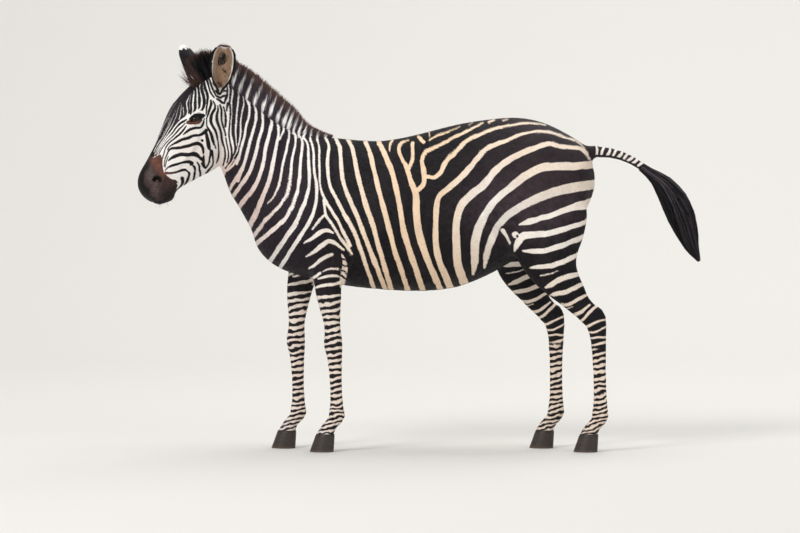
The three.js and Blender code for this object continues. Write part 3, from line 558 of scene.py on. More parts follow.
HEAD_WHITES = """
/:.8 1.2 1.4 1.4 1.5 1.5 1.5 1.3:189.2,95 188.2,98.4 186.8,101.4 186.4,104.6 186.7,108 187.2,111.4
186.8,114.4 185.4,117
/:.6 .9 .9 .7:191.2,93 190.2,98 189.5,103.4 189.5,109.6
/:1 1.2 1.2 1.2 1.2:193.6,90.4 194.3,95 193.2,100.4 192.9,105 193,109.4
/:1 1.4 1.6 1.6 1.6 1.6:195.9,87 197.1,93.6 197.2,99 197.6,103.6 197.8,107.8 197.4,110.8
/:1 1.2 1.4 1.5 1.5 1.4:199.8,83.4 200.2,90.4 201.4,97 202.2,103 201,107.2 199,109.4
/:.9 1.1 1.1 .9:183.1,106.6 183.3,110.4 183.4,113.2 183.2,115.8
/:.7 1 1.2 1.3 1.1:181.4,104 180.9,109 180.5,112.2 179.7,116 178.7,119.2
/:.5 .7 .8 .8 .9 .9 1 .9 .9 1 1:180.4,102 178.2,107 176.9,112 176.1,116.2 174.6,120 172.6,123.6 170.6,127.4
168.6,130.7 166.4,134.4 163.8,138 161,142
/:1 .9 .8 .7:161,142 158.6,145.6 156.4,149.6 154.6,154
/:.8 .8 .7 .6:162,137 158.8,141.6 155.8,146.6 153.4,152
/:.5 .6 .6 .7 .7 .7 .8:175.6,110 173.2,115 171.3,119.6 169.6,124 167.6,128.2 165,132.8 162,137
/:.3 .4 .5 .5 .5:170.4,117 168.8,122.6 167,127.4 164.4,131.4 161.6,135.6
/:1.3 1.7 2 1.9 1.7 1.6 1.5 1.4 1.3 1.1 1:187.2,114.4 184.8,117.6 181.4,119.9 178.2,122.6 174.5,127
171,131.8 167.7,135.7 164.4,140 161.4,144 158.8,148 156.8,152.4
"""
MUZZLE = """140,150 147,156 150,158.6 153.4,157.4 157,155.4 160.4,154.6 161.8,158 162.2,162 162.8,167 163.6,170.6
164.6,173 167,175.6 170.4,178 173,179.4 176,180 177.6,182 177.4,186 176.6,191 177,200 165,216 130,214
120,180"""
RUST_ABOVE_NOSTRIL = "150,158.4 154,157 160.6,155 162.4,161 163.4,170 167,173 163,174.6 158,171 153.4,166"
RUST_BELOW_EYE = "186.6,121.4 190,119.4 201.4,118.6 202.2,120.4 199,123 194.6,124.2 189.4,124 186.6,123.2"
EYE_SHADE = "189,118.6 191.6,115.6 195,113.6 200,113.2 204,114 206,115.4 203.4,117.6 200.6,120.2 195,121 191,120.4"
EAR_FOOT = "212,76 226.6,76 226,82 223.4,86 219.6,87.6 215.6,87 212.6,83"
BELOW_EYE_WHITE = "/:1.8 2.2 2.2 1.8 1.4:188,126.6 192,125.8 198,125.4 201.4,122.6 203.2,118.6"
OVER_EYE_WHITE = "/:1.8 2.4 2.4 1.6:193,113 196.4,111.4 201,111.2 205.4,111.8"


# Where the markings of the head meet those of the neck: down the middle of a white stripe behind the jaw.
FACE_EDGE = """230.5,84 233,89 233.4,93.5 231.8,100.7 231.6,108 232,115 231.2,124 231,133 232.5,141.7 233.6,149
233.2,154 230.6,160.6 227.4,165.2 223.6,169"""


def strokes_over(field, spots, strokes, white):
    """Lays strokes over a field that is above 0 where the coat is white, in pixels."""
    for run_on, widths, places in (stroke.split(":") for stroke in strokes.split("/")[1:]):
        path = np.array(numbers(places))
        for end in run_on:
            tail, before = (path[0], path[1]) if end == "a" else (path[-1], path[-2])
            past_end = tail + unit(tail - before) * RUN_ON[end]
            path = np.vstack((past_end, path) if end == "a" else (path, past_end))
        path, shares = curve(path)
        widths = np.array([float(w) for w in widths.split()])
        halves = np.interp(shares, np.linspace(0, 1, len(widths)), widths) / 2
        reach = halves.max() + 6
        near = close_to(path, spots, reach).nonzero()[0]
        if len(near):
            value = nearest_on(path, halves, spots[near])
            field[near] = np.maximum(field[near], value) if white else np.minimum(field[near], -value)
    return field


def inside(places, spots):
    """How far spots lie inside a closed outline, in pixels; below 0 outside."""
    path = np.array(numbers(places))
    path = np.vstack((path, path[:1]))
    crossings = np.zeros(len(spots), int)
    for a, b in zip(path[:-1], path[1:]):
        spans = (a[1] > spots[:, 1]) != (b[1] > spots[:, 1])
        at = a[0] + (spots[:, 1] - a[1]) * (b[0] - a[0]) / (b[1] - a[1] + 1e-12)
        crossings += spans & (spots[:, 0] < at)
    distance = -nearest_on(path, np.zeros(len(path)), spots)
    return np.where(crossings % 2 == 1, distance, -distance)


def wobble(points, size, seed=0):
    """A smooth field between about -1 and 1 that changes over size."""
    rng = np.random.default_rng(100 + seed)
    total = np.zeros(len(points))
    for _ in range(7):
        turn = unit(rng.normal(size=3)) * 2 * math.pi / size * rng.uniform(0.6, 1.5)
        total += np.sin(points @ turn + rng.uniform(0, 2 * math.pi))
    return total / 3.5


def leg_bands(points):
    """Rings down the lower legs, closer together towards the hooves, in pixels."""
    z = points[:, 2]
    heights = np.linspace(0.0, 1.0, 201)
    spacing = np.interp(heights, (0.07, 0.15, 0.30, 0.50, 0.70), (0.015, 0.019, 0.024, 0.026, 0.032))
    count = np.concatenate(((0,), np.cumsum(0.005 / ((spacing[1:] + spacing[:-1]) / 2))))
    hind = points[:, 0] > 0
    lean = np.where(hind, 0.20, 0.16) * (points[:, 0] - np.where(hind, 0.70, -0.345))
    at = z - lean + 0.0045 * wobble(points, 0.09, 1) + 0.003 * wobble(points, 0.03, 2)
    phase = np.interp(at, heights, count)
    gap = np.interp(z, heights, spacing)
    return (np.cos(2 * math.pi * phase) - 0.10) * gap / 4 / PIXEL * 0.75


def stripes(points):
    """The markings at points of the outline: above 0 where the coat is white, about in pixels."""
    near = near_side(points)
    spots = to_view(near)
    spots = spots + 0.35 * np.stack((wobble(points, 0.05, 3), wobble(points, 0.05, 4)), 1)
    z = points[:, 2]
    x, y = spots.T
    edge_x, edge_y = np.array(numbers(FACE_EDGE)).T
    face = np.where((y > edge_y[0]) & (y < edge_y[-1]), ramp(0.6, -0.6, x - np.interp(y, edge_y, edge_x)),
                    ramp(-0.004, 0.004, past(HEAD_CUT, points)) * (x < 231))
    on_tail = ramp(0.0, 0.02, past(TAIL_CUT, points)) * (z > 0.95)
    field = np.full(len(points), -8.0)
    rest = face < 1
    field[rest] = body_stripes(points[rest], near[rest], spots[rest])
    rest = on_tail > 0
    tail = strokes_over(np.full(rest.sum(), -8.0), spots[rest], DOCK_WHITES, True)
    dock = np.interp(points[rest, 0], column(DOCK, 0), column(DOCK, 2))
    tail = np.where(z[rest] < dock - 0.013, -8.0, tail)
    field[rest] += on_tail[rest] * (tail - field[rest])
    rest = face > 0
    field[rest] += face[rest] * (head_stripes(spots[rest]) - field[rest])
    return field


def body_stripes(points, near, spots):
    body = np.full(len(points), -8.0)
    strokes_over(body, spots, BODY_WHITES, True)
    strokes_over(body, spots, BODY_BLACKS, False)
    strokes_over(body, spots, STIFLE_WHITES, True)
    strokes_over(body, spots, STIFLE_BLACKS, False)
    strokes_over(body, spots, MANE_WHITES, True)
    body -= 0.12 + 0.22 * ramp(330, 280, spots[:, 0])
    x, y, z = points.T
    aside = (np.abs(y) - 0.010 - 0.003 * wobble(points, 0.06, 14)) / PIXEL
    body = np.where((x > -0.33) & (z > 1.10), np.minimum(body, aside), body)
    body = np.where((x > -0.50) & (x < 0.45) & (z < 0.80), np.minimum(body, aside - 4), body)
    body = np.where((x > 0.36) & (z < 0.90), np.minimum(body, aside - 14 * ramp(0.90, 0.84, z)), body)
    lower = np.where(points[:, 0] < 0, ramp(0.652, 0.625, z), ramp(0.44, 0.40, z))
    return body + lower * (leg_bands(near) - body)


def head_stripes(spots):
    head = np.minimum(8.0, -inside(FOREHEAD, spots))
    strokes_over(head, spots, HEAD_BLACKS, False)
    strokes_over(head, spots, HEAD_WHITES, True)
    strokes_over(head, spots, OVER_EYE_WHITE + BELOW_EYE_WHITE, True)
    for outline in (MUZZLE, RUST_BELOW_EYE, EYE_SHADE, EAR_FOOT):
        head = np.minimum(head, -inside(outline, spots))
    return head - 0.34 + 0.20 * ramp(178, 168, spots[:, 0])


def tones(points, palette):
    """The light and the dark colour of the coat at points."""
    spots = to_view(near_side(points))
    x, y = spots.T

    def round_patch(cx, cy, rx, ry):
        return np.exp(-((x - cx) / rx) ** 2 - ((y - cy) / ry) ** 2)

    def laid(base, layers):
        tone = np.broadcast_to(np.array(base, float), (len(points), 3))
        for other, share in layers:
            tone = tone + share[:, None] * (np.array(other) - tone)
        return tone

    light = laid(palette.white, (
        (palette.cream, ramp(285, 400, x) * (0.85 - 0.35 * ramp(430, 560, x))),
        (palette.mauve, 0.85 * round_patch(252, 205, 34, 42)),
        (palette.mauve, 0.85 * round_patch(230, 172, 13, 16)),
        (palette.white, 0.75 * round_patch(545, 235, 75, 55)),
        (palette.white, 0.75 * round_patch(488, 204, 30, 46)),
        (palette.white, 0.75 * ramp(588, 600, x) * ramp(200, 180, y)),
        (palette.mauve, 0.25 * ramp(0.75, 0.45, points[:, 2])),
        (palette.mauve, 0.28 * round_patch(192, 150, 22, 14))))
    on_head = ramp(-0.01, 0.01, past(HEAD_CUT, points))
    muzzle = ramp(-2.5, 2.5, inside(MUZZLE, spots)) * on_head
    mottled = 0.5 * wobble(points, 0.007, 15) + 0.5 * wobble(points, 0.02, 16)
    # painted highlight: a paler patch on the lit side of the upper lip and beside the nostril
    pale = np.clip(round_patch(156.6, 190, 4.4, 9) + 0.6 * round_patch(150.5, 175, 4, 7), 0, 1)
    down, aside, out = to_head(points).T
    # the front of the muzzle: its own dark skin, made darker still as painted shade on the side turned from the
    # light
    front = np.interp(out, (-0.10, -0.054, -0.023, 0.0), (0.037, 0.041, 0.029, 0.018))
    front = ramp(0.006, -0.006, np.abs(aside) - front + 0.004 * wobble(points, 0.03, 13)) * muzzle
    rust = ramp(-4, 4, inside(RUST_ABOVE_NOSTRIL, spots)) * on_head
    dark = laid(palette.charcoal, (
        (palette.black, ramp(270, 360, x)),
        (palette.umber, 0.75 * ramp(440, 540, x) * ramp(230, 190, y)),
        (palette.black, ramp(226, 208, x)),
        (palette.charcoal, 0.9 * round_patch(176, 112, 14, 26)),
        (palette.muzzle, muzzle),
        # painted highlight on the upper lip
        (np.array(palette.mauve) * 0.2, pale * (0.62 + 0.3 * mottled) * muzzle),
        (palette.rust, 0.12 * round_patch(167, 181, 6, 8) * muzzle),
        # dark front of the muzzle: partly dark skin, partly painted shade
        (np.array(palette.black) * 0.45, front * ramp(0.38, 0.45, down)),
        (palette.black, 0.7 * muzzle * round_patch(168, 196, 13, 9)),
        (palette.rust, 0.72 * rust * (0.8 + 0.2 * np.clip(wobble(points, 0.012, 12), -1, 1))),
        (palette.rust, 0.5 * round_patch(168, 173, 7, 3.5) * on_head),
        (palette.rust, 0.75 * ramp(-1, 1.5, inside(RUST_BELOW_EYE, spots)) * on_head),
        (palette.black, ramp(-1, 1, inside(EYE_SHADE, spots)) * on_head),
        (palette.mane_tip, 0.5 * ramp(-1, 1, inside(EAR_FOOT, spots)) * on_head)))
    # painted sheen of light over the middle of the haunch, partly a greyer tone of its dark stripes
    sheen = round_patch(520, 206, 62, 36) * np.clip(0.75 + 0.35 * wobble(points, 0.03, 17), 0, 1)
    dust = 0.16 * ramp(0.1, 0.9, wobble(points, 0.16, 6)) * (1 - muzzle)
    dark = laid(dark * (1 + 0.25 * mottled * muzzle)[:, None], (
        (palette.haunch, 0.75 * sheen), (np.array(palette.umber) * 1.5, dust)))
    light = light * (1 + 0.04 * wobble(points, 0.11, 7))[:, None]
    return np.clip(light, 0, 1), np.clip(dark, 0, 1)


# ---------------------------------------------------------------- meshes from arrays
def new_object(name, points, faces, material, smooth=True):
    """An object from points and faces of one corner count each, or a list of such face arrays."""
    groups = faces if isinstance(faces, list) else [faces]
    corners = np.concatenate([g.ravel() for g in groups]).astype(np.int32)
    totals = np.concatenate([np.full(len(g), g.shape[1]) for g in groups]).astype(np.int32)
    mesh = bpy.data.meshes.new(name)
    mesh.vertices.add(len(points))
    mesh.vertices.foreach_set("co", np.asarray(points, np.float32).ravel())
    mesh.loops.add(len(corners))
    mesh.loops.foreach_set("vertex_index", corners)
    mesh.polygons.add(len(totals))
    mesh.polygons.foreach_set("loop_start", np.concatenate(((0,), np.cumsum(totals)[:-1])).astype(np.int32))
    mesh.polygons.foreach_set("loop_total", totals)
    mesh.polygons.foreach_set("use_smooth", np.full(len(totals), smooth))
    mesh.update(calc_edges=True)
    mesh.materials.append(material)
    made = bpy.data.objects.new(name, mesh)
    bpy.context.scene.collection.objects.link(made)
    return made


def ring_faces(count, around):
    """Faces over rings of points, and fans to the two ends that follow them: triangles and quads."""
    grid = np.arange(count).reshape(-1, around)
    right = np.roll(grid, -1, 1)
    quads = np.stack((grid[:-1], grid[1:], right[1:], right[:-1]), -1).reshape(-1, 4)
    ends = np.full(around, count), np.full(around, count + 1)
    fans = np.vstack((np.stack((ends[0], grid[0], right[0]), -1), np.stack((ends[1], right[-1], grid[-1]), -1)))
    return fans, quads


def placed(piece, slot, *nodes):
    """Fixes a piece to the body, in place of the solids it stands for; its slot is not used."""
    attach(piece, "root")
    if nodes:
        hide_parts(*nodes)
    return piece


def read(owner, name, width, kind=np.float32):
    """The numbers of one property over all of a mesh's parts."""
    values = np.zeros(len(owner) * width, kind)
    owner.foreach_get(name, values)
    return values if width == 1 else values.reshape(-1, width)


def set_attribute(mesh, name, values):
    values = np.asarray(values, np.float32)
    if values.ndim == 1:
        mesh.attributes.new(name, "FLOAT", "POINT").data.foreach_set("value", values)
    else:
        alpha = np.ones((len(values), 1), np.float32)
        layer = mesh.attributes.new(name, "FLOAT_COLOR", "POINT")
        layer.data.foreach_set("color", np.hstack((values, alpha)).ravel())


def get_attribute(mesh, name):
    layer = mesh.attributes[name]
    return read(layer.data, "value", 1) if layer.data_type == "FLOAT" else read(layer.data, "color", 4)[:, :3]


def mesh_arrays(mesh):
    """Points, triangles and unit normals of a mesh."""
    points = read(mesh.vertices, "co", 3).astype(float)
    mesh.calc_loop_triangles()
    triangles = read(mesh.loop_triangles, "vertices", 3, np.int32)
    return points, triangles, normals_of(points, triangles)


def corners_of(mesh):
    """The points at the faces' corners, each face's count of them and where its own start."""
    totals = read(mesh.polygons, "loop_total", 1, np.int32)
    return read(mesh.loops, "vertex_index", 1, np.int32), totals, np.concatenate(((0,), np.cumsum(totals)[:-1]))


def normals_of(points, triangles):
    a, b, c = (points[triangles[:, k]] for k in range(3))
    facing = np.cross(b - a, c - a)
    total = np.zeros_like(points)
    for k in range(3):
        for axis in range(3):
            total[:, axis] += np.bincount(triangles[:, k], facing[:, axis], len(points))
    return unit(total)


def edges_of(mesh):
    return read(mesh.edges, "vertices", 2, np.int32)


def relax(values, edges, strength, rounds):
    """Moves each row towards the mean of its neighbours."""
    values = values.copy()
    i, j = edges.T
    count = len(values)
    degree = np.maximum(np.bincount(i, minlength=count) + np.bincount(j, minlength=count), 1)
    strength = np.broadcast_to(np.asarray(strength, float), (count,))
    for _ in range(rounds):
        for k in range(values.shape[1]):
            total = np.bincount(i, values[j, k], count) + np.bincount(j, values[i, k], count)
            values[:, k] += strength * (total / degree - values[:, k])
    return values


# ---------------------------------------------------------------- the bake map
# Each part of the body is a tube unrolled into its own box of the map: left, right, low, high.
CHARTS = {
    "head": (0.005, 0.415, 0.505, 0.995), "neck": (0.425, 0.695, 0.605, 0.995),
    "trunk": (0.005, 0.695, 0.005, 0.495),
    "tail": (0.425, 0.695, 0.505, 0.595), "left_front": (0.705, 0.775, 0.005, 0.995),
    "right_front": (0.780, 0.850, 0.005, 0.995), "left_hind": (0.855, 0.925, 0.005, 0.995),
    "right_hind": (0.930, 0.995, 0.005, 0.995),
}
PARTS = list(CHARTS)


def part_of(points):
    """The number in PARTS of the part that each point belongs to."""
    x, y, z = points.T
    part = np.full(len(points), PARTS.index("trunk"))
    part[past(NECK_CUT, points) > 0] = PARTS.index("neck")
    low = z < 0.80
    for number, name in enumerate(PARTS[4:], 4):
        side = (y < 0) == name.startswith("left")
        part[low & side & ((x < -0.26) & (z < 0.72) if name.endswith("front") else x > 0.33)] = number
    part[past(HEAD_CUT, points) > 0] = PARTS.index("head")
    part[(past(TAIL_CUT, points) > 0) & (z > 0.7) & (x > 0.6)] = PARTS.index("tail")
    return part


def unrolled(points, part):
    """Share along and turn about the part's own tube."""
    x, y, z = points.T
    along, turn = np.zeros(len(points)), np.zeros(len(points))
    for number, name in enumerate(PARTS):
        own = part == number
        if not own.any():
            continue
        px, py, pz = x[own], y[own], z[own]
        if name == "head":
            down, left, out = to_head(points[own]).T
            along[own], turn[own] = np.clip((down + 0.26) / 0.82, 0, 1), np.arctan2(left, out + 0.11)
        elif name == "neck":
            centre_z = np.interp(px, (-0.85, -0.60, -0.30), (1.37, 1.19, 0.98))
            along[own] = np.clip((px + 0.92) / 0.62, 0, 1)
            turn[own] = np.arctan2(neck_middle(points[own]) - py, pz - centre_z)
        elif name == "trunk":
            along[own], turn[own] = np.clip((px + 0.68) / 1.4, 0, 1), np.arctan2(-py, pz - 0.98)
        elif name == "tail":
            centre_z = np.interp(px, column(DOCK, 0), column(DOCK, 2))
            along[own], turn[own] = np.clip((px - 0.66) / 0.32, 0, 1), np.arctan2(-py, pz - centre_z)
        else:
            front = name.endswith("front")
            axis, reach = (FORE_AXIS, FORE_REACH) if front else (HIND_AXIS, HIND_REACH)
            side = -1 if name.startswith("left") else 1
            centre_x = axis_at(pz, axis, column(axis, 0) - np.array(reach) * (side > 0))
            centre_y = axis_at(pz, axis, column(axis, 1)) * side
            along[own] = np.clip(pz / 0.82, 0, 1)
            turn[own] = np.arctan2((py - centre_y) * side, centre_x - px)
    return along, turn


def charted(points, part=None, turn_near=None):
    """Places in the bake map. turn_near keeps the corners of one face on the same side of a tube's seam."""
    part = part_of(points) if part is None else part
    along, turn = unrolled(points, part)
    if turn_near is not None:
        turn = np.where(turn - turn_near > math.pi, turn - 2 * math.pi, turn)
        turn = np.where(turn_near - turn > math.pi, turn + 2 * math.pi, turn)
    boxes = np.array([CHARTS[name] for name in PARTS])[part]
    share = np.clip((turn + math.pi * 1.05) / (2.1 * math.pi), 0, 1)
    return np.stack((boxes[:, 0] + share * (boxes[:, 1] - boxes[:, 0]),
                     boxes[:, 2] + along * (boxes[:, 3] - boxes[:, 2])), 1)


def set_bake_map(mesh, corners_uv):
    mesh.uv_layers.new(name="OFBake").data.foreach_set("uv", np.asarray(corners_uv, np.float32).ravel())


def chart_skin(mesh):
    """Gives the skin its bake map, face by face."""
    points = read(mesh.vertices, "co", 3).astype(float)
    corner, totals, first = corners_of(mesh)
    owner = np.repeat(np.arange(len(totals)), totals)
    part = part_of(points[corner[first]])
    _, turn = unrolled(points[corner[first]], part)
    set_bake_map(mesh, charted(points[corner], part[owner], turn[owner]))


# ---------------------------------------------------------------- materials
def add(tree, kind, inputs, **settings):
    """A shader node whose inputs are constants or other nodes' outputs."""
    made = tree.nodes.new("ShaderNode" + kind)
    for key, value in settings.items():
        setattr(made, key, value)
    for key, value in inputs.items():
        if isinstance(value, bpy.types.NodeSocket):
            tree.links.new(value, made.inputs[key])
        else:
            made.inputs[key].default_value = value
    return made


def attribute_node(tree, name):
    return add(tree, "Attribute", {}, attribute_name=name)


def grain(tree, scale, roughness):
    """Fine noise fixed to the body."""
    place = add(tree, "TexCoord", {}).outputs["Object"]
    values = {"Vector": place, "Scale": scale, "Detail": 3.0, "Roughness": roughness}
    return add(tree, "TexNoise", values).outputs["Fac"]


def striped_group():
    """Colour of the coat from its stripe, light and dark values, with the stripe's edge broken by fine hair."""
    if "Striped coat" in bpy.data.node_groups:
        return bpy.data.node_groups["Striped coat"]
    tree = bpy.data.node_groups.new("Striped coat", "ShaderNodeTree")
    for name, way, kind in (("Raggedness", "INPUT", "Float"), ("Edge", "INPUT", "Float"),
                            ("Color", "OUTPUT", "Color"), ("White", "OUTPUT", "Float")):
        tree.interface.new_socket(name=name, in_out=way, socket_type="NodeSocket" + kind)
    given, out = tree.nodes.new("NodeGroupInput").outputs, tree.nodes.new("NodeGroupOutput")
    stripe, light, dark, shade = (attribute_node(tree, n).outputs for n in ("stripe", "light", "dark", "shade"))
    centred = add(tree, "Math", {0: grain(tree, 260.0, 0.6), 1: 0.5}, operation="SUBTRACT").outputs[0]
    ragged = add(tree, "Math", {0: centred, 1: given["Raggedness"], 2: stripe["Fac"]}, operation="MULTIPLY_ADD")
    lower = add(tree, "Math", {0: given["Edge"], 1: -1}, operation="MULTIPLY")
    edges = {"Value": ragged.outputs[0], "From Min": lower.outputs[0], "From Max": given["Edge"]}
    white = add(tree, "MapRange", edges, interpolation_type="SMOOTHSTEP").outputs["Result"]
    mix = add(tree, "Mix", {0: white}, data_type="RGBA")
    tree.links.new(dark["Color"], mix.inputs[6])
    tree.links.new(light["Color"], mix.inputs[7])
    # the colour is scaled by the shade values: painted shade in the nostrils and at the tufts' roots, besides a
    # random tone
    toned = add(tree, "VectorMath", {0: mix.outputs[2], "Scale": shade["Fac"]}, operation="SCALE")
    tree.links.new(toned.outputs[0], out.inputs["Color"])
    tree.links.new(white, out.inputs["White"])
    return tree


def surface(name, roughness, specular=0.3, **more):
    """A material and its Principled shader."""
    material = bpy.data.materials.new(name)
    material.use_nodes = True
    shader = material.node_tree.nodes["Principled BSDF"]
    shader.inputs["Roughness"].default_value = roughness
    shader.inputs["Specular IOR Level"].default_value = specular
    for key, value in more.items():
        shader.inputs[key.replace("_", " ")].default_value = value
    return material, shader


def striped_surface(name, roughness, raggedness, edge, bump=0.0, **more):
    material, shader = surface(name, roughness, **more)
    tree = material.node_tree
    coat = tree.nodes.new("ShaderNodeGroup")
    coat.node_tree = striped_group()
    coat.inputs["Raggedness"].default_value = raggedness
    coat.inputs["Edge"].default_value = edge
    tree.links.new(coat.outputs["Color"], shader.inputs["Base Color"])
    if bump:
        relief = add(tree, "Bump", {"Height": grain(tree, 420.0, 0.65), "Strength": bump, "Distance": 0.0012})
        tree.links.new(relief.outputs["Normal"], shader.inputs["Normal"])
    return material


def tinted_surface(name, roughness, **more):
    """A material whose colour is in the mesh's tint values."""
    material, shader = surface(name, roughness, **more)
    tint = attribute_node(material.node_tree, "tint")
    material.node_tree.links.new(tint.outputs["Color"], shader.inputs["Base Color"])
    return material


# ---------------------------------------------------------------- skin
def flesh_object(size):
    """The flesh, eyes and hooves joined into one closed mesh of even faces."""
    whole = bmesh.new()
    for name in FLESH + EYES + HOOF_NODES:
        piece = bmesh.new()
        piece.from_mesh(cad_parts[name].data)
        bmesh.ops.remove_doubles(piece, verts=piece.verts, dist=1e-5)
        bmesh.ops.recalc_face_normals(piece, faces=piece.faces)
        piece.normal_update()
        for v in piece.verts:
            v.co += v.normal * GROW
        scratch = bpy.data.meshes.new("scratch")
        piece.to_mesh(scratch)
        piece.free()
        whole.from_mesh(scratch)
        bpy.data.meshes.remove(scratch)
    mesh = bpy.data.meshes.new("flesh")
    whole.to_mesh(mesh)
    whole.free()
    made = bpy.data.objects.new("flesh", mesh)
    bpy.context.scene.collection.objects.link(made)
    remesh = made.modifiers.new("Even faces", "REMESH")
    remesh.mode = "VOXEL"
    remesh.voxel_size = size
    graph = bpy.context.evaluated_depsgraph_get()
    even = bpy.data.meshes.new_from_object(made.evaluated_get(graph))
    bpy.data.objects.remove(made)
    return even




def evened(mesh, rounds):
    """Rounds the facets of the solids: most on the trunk, little on the head and legs."""
    points, triangles, _ = mesh_arrays(mesh)
    edges = edges_of(mesh)
    x, y, z = points.T
    head = ramp(-0.05, 0.02, past(HEAD_CUT, points))
    legs = np.where(x < 0, ramp(0.74, 0.56, z), ramp(0.80, 0.58, z))
    tail = ramp(-0.02, 0.03, past(TAIL_CUT, points)) * (z > 0.9)
    strength = 0.75 * (1 - 0.93 * head) * (1 - 0.965 * legs) * (1 - 0.96 * tail)
    soft = relax(points, edges, strength, rounds)
    lost = relax(points - soft, edges, strength, rounds)
    return soft + lost, edges, triangles


def finer(mesh, chosen):
    """Halves the edges of the chosen faces."""
    work = bmesh.new()
    work.from_mesh(mesh)
    work.faces.ensure_lookup_table()
    edges = {e for f, take in zip(work.faces, chosen) if take for e in f.edges}
    bmesh.ops.subdivide_edges(work, edges=list(edges), cuts=1, use_grid_fill=True)
    rough = [f for f in work.faces if len(f.verts) > 4]
    if rough:
        bmesh.ops.triangulate(work, faces=rough)
    work.to_mesh(mesh)
    work.free()


def face_centres(mesh):
    return read(mesh.polygons, "center", 3).astype(float)


def laid_on(points, path, closeness=0.006):
    """A smooth path with its places moved to the skin, and their shares of its length."""
    path, shares = curve(path, closeness)
    skin = points[close_to(path, points, 0.05)]
    path = np.array([skin[np.argmin(((skin - spot) ** 2).sum(1))] for spot in path])
    path[1:-1] = (path[:-2] + 2 * path[1:-1] + path[2:]) / 4
    return path, shares


def pushed(points, normals, path, reach, depth):
    """Raises (or sinks, below 0) the skin along a path, with soft sides."""
    path, shares = laid_on(points, path)
    reach = np.interp(shares, np.linspace(0, 1, len(np.atleast_1d(reach))), np.atleast_1d(reach))
    own = close_to(path, points, reach.max() * 2.2).nonzero()[0]
    best = np.full(len(own), 9.0)
    for a, b, r in zip(path[:-1], path[1:], reach[:-1]):
        line = b - a
        t = np.clip((points[own] - a) @ line / max(line @ line, 1e-12), 0, 1)
        best = np.minimum(best, np.linalg.norm(points[own] - a - t[:, None] * line, axis=1) / r)
    moved = points.copy()
    moved[own] += normals[own] * (depth * np.exp(-best ** 2))[:, None]
    return moved


# Forms of the head in its own frame (millimetres: down the face, to the side, out of it), then reach and height.
HEAD_FORMS = (
    ((205, 96, -100), (300, 78, -118), (356, 64, -112), (9, 8, 7), 2.6),  # crest of the cheek
    ((214, 98, -122), (300, 82, -140), (372, 62, -130), (10, 10, 9), -2.0),  # hollow below the crest
    ((250, 60, -40), (330, 50, -44), (410, 42, -44), (12, 12, 10), -2.4),  # side of the nose
    ((150, 52, -8), (200, 42, -4), (300, 30, -4), (12, 10, 10), 1.6),  # edge of the nose bone
    ((110, 70, -60), (124, 76, -84), (120, 78, -96), (12, 14, 10), -2.2),  # temple
    ((60, 84, -180), (120, 96, -236), (210, 88, -262), (14, 14, 12), -2.0),  # rear of the jaw
    ((200, 92, -160), (232, 98, -196), (262, 90, -220), (30, 34, 30), 3.0),  # cheek muscle
    ((290, 72, -214), (352, 58, -204), (420, 50, -172), (9, 9, 8), -1.8),  # line of the lower jaw
    ((408, 52, -96), (440, 50, -84), (470, 54, -84), (10, 12, 10), 2.2),  # above the nostril
    ((512, 46, -96), (500, 54, -110), (470, 56, -122), (9, 10, 9), 2.4),  # upper lip
)
MOUTH = ((543, 0, -119), (538, 24, -124), (522, 42, -132), (500, 51, -141), (476, 53, -149), (452, 52, -155),
         (432, 51, -157))
LOWER_LIP = ((530, 0, -142), (522, 26, -146), (500, 42, -158), (470, 46, -170))
NOSTRIL = ((477, 52, -48), (467, 54, -49), (460, 56, -56), (459, 57, -64), (466, 56, -70))
NOSTRIL_FLAP = ((486, 54, -54), (496, 53, -62), (506, 52, -72))
# Forms of the body in the view (pixels), then reach and height (millimetres). Each runs along both sides.
BODY_FORMS = (
    ("300,146 306,170 312,196 316,220", 22, 4.0),  # spine of the shoulder blade
    ("283,150 286,180 292,210 300,234", 22, -3.5),  # front edge of the shoulder
    ("334,158 338,186 344,214 350,240", 24, -4.0),  # behind the shoulder
    ("330,222 340,232 348,246 350,262", 16, -4.0),  # rear of the upper arm
    ("318,214 322,232 326,250", 20, 4.0),  # upper arm muscle
    ("350,262 344,272 338,284", 9, -3.5),  # elbow fold
    ("316,262 314,284 316,308", 12, 2.4),  # forearm muscle
    ("331,262 330,284 329,310", 9, -1.8),  # groove of the forearm
    ("262,236 252,206 244,178 238,160", 10, -3.0),  # jugular groove
    ("262,200 270,170 276,140", 26, 2.5),  # neck muscle
    ("296,226 286,240 280,252", 14, -2.5),  # breast fold
    ("500,262 497,248 492,232 484,216", 12, 4.0),  # flank fold
    ("508,262 506,246 500,228", 11, -3.6),  # hollow behind the flank fold
    ("478,150 486,170 490,190", 26, -4.5),  # hollow before the hip
    ("498,140 506,148 512,158", 18, 4.0),  # point of the hip
    ("552,158 552,190 546,220 540,246", 22, -2.6),  # groove of the haunch
    ("580,166 578,196 568,226 560,250", 24, 2.5),  # rear of the haunch
    ("528,240 532,256 540,270", 14, 3.0),  # stifle
    ("556,262 566,282 580,300", 9, -2.4),  # groove before the hamstring
    ("370,284 410,287 450,284 490,272", 16, 2.0),  # belly line
    ("350,150 400,158 450,152", 34, -2.0),  # hollow beside the back
)


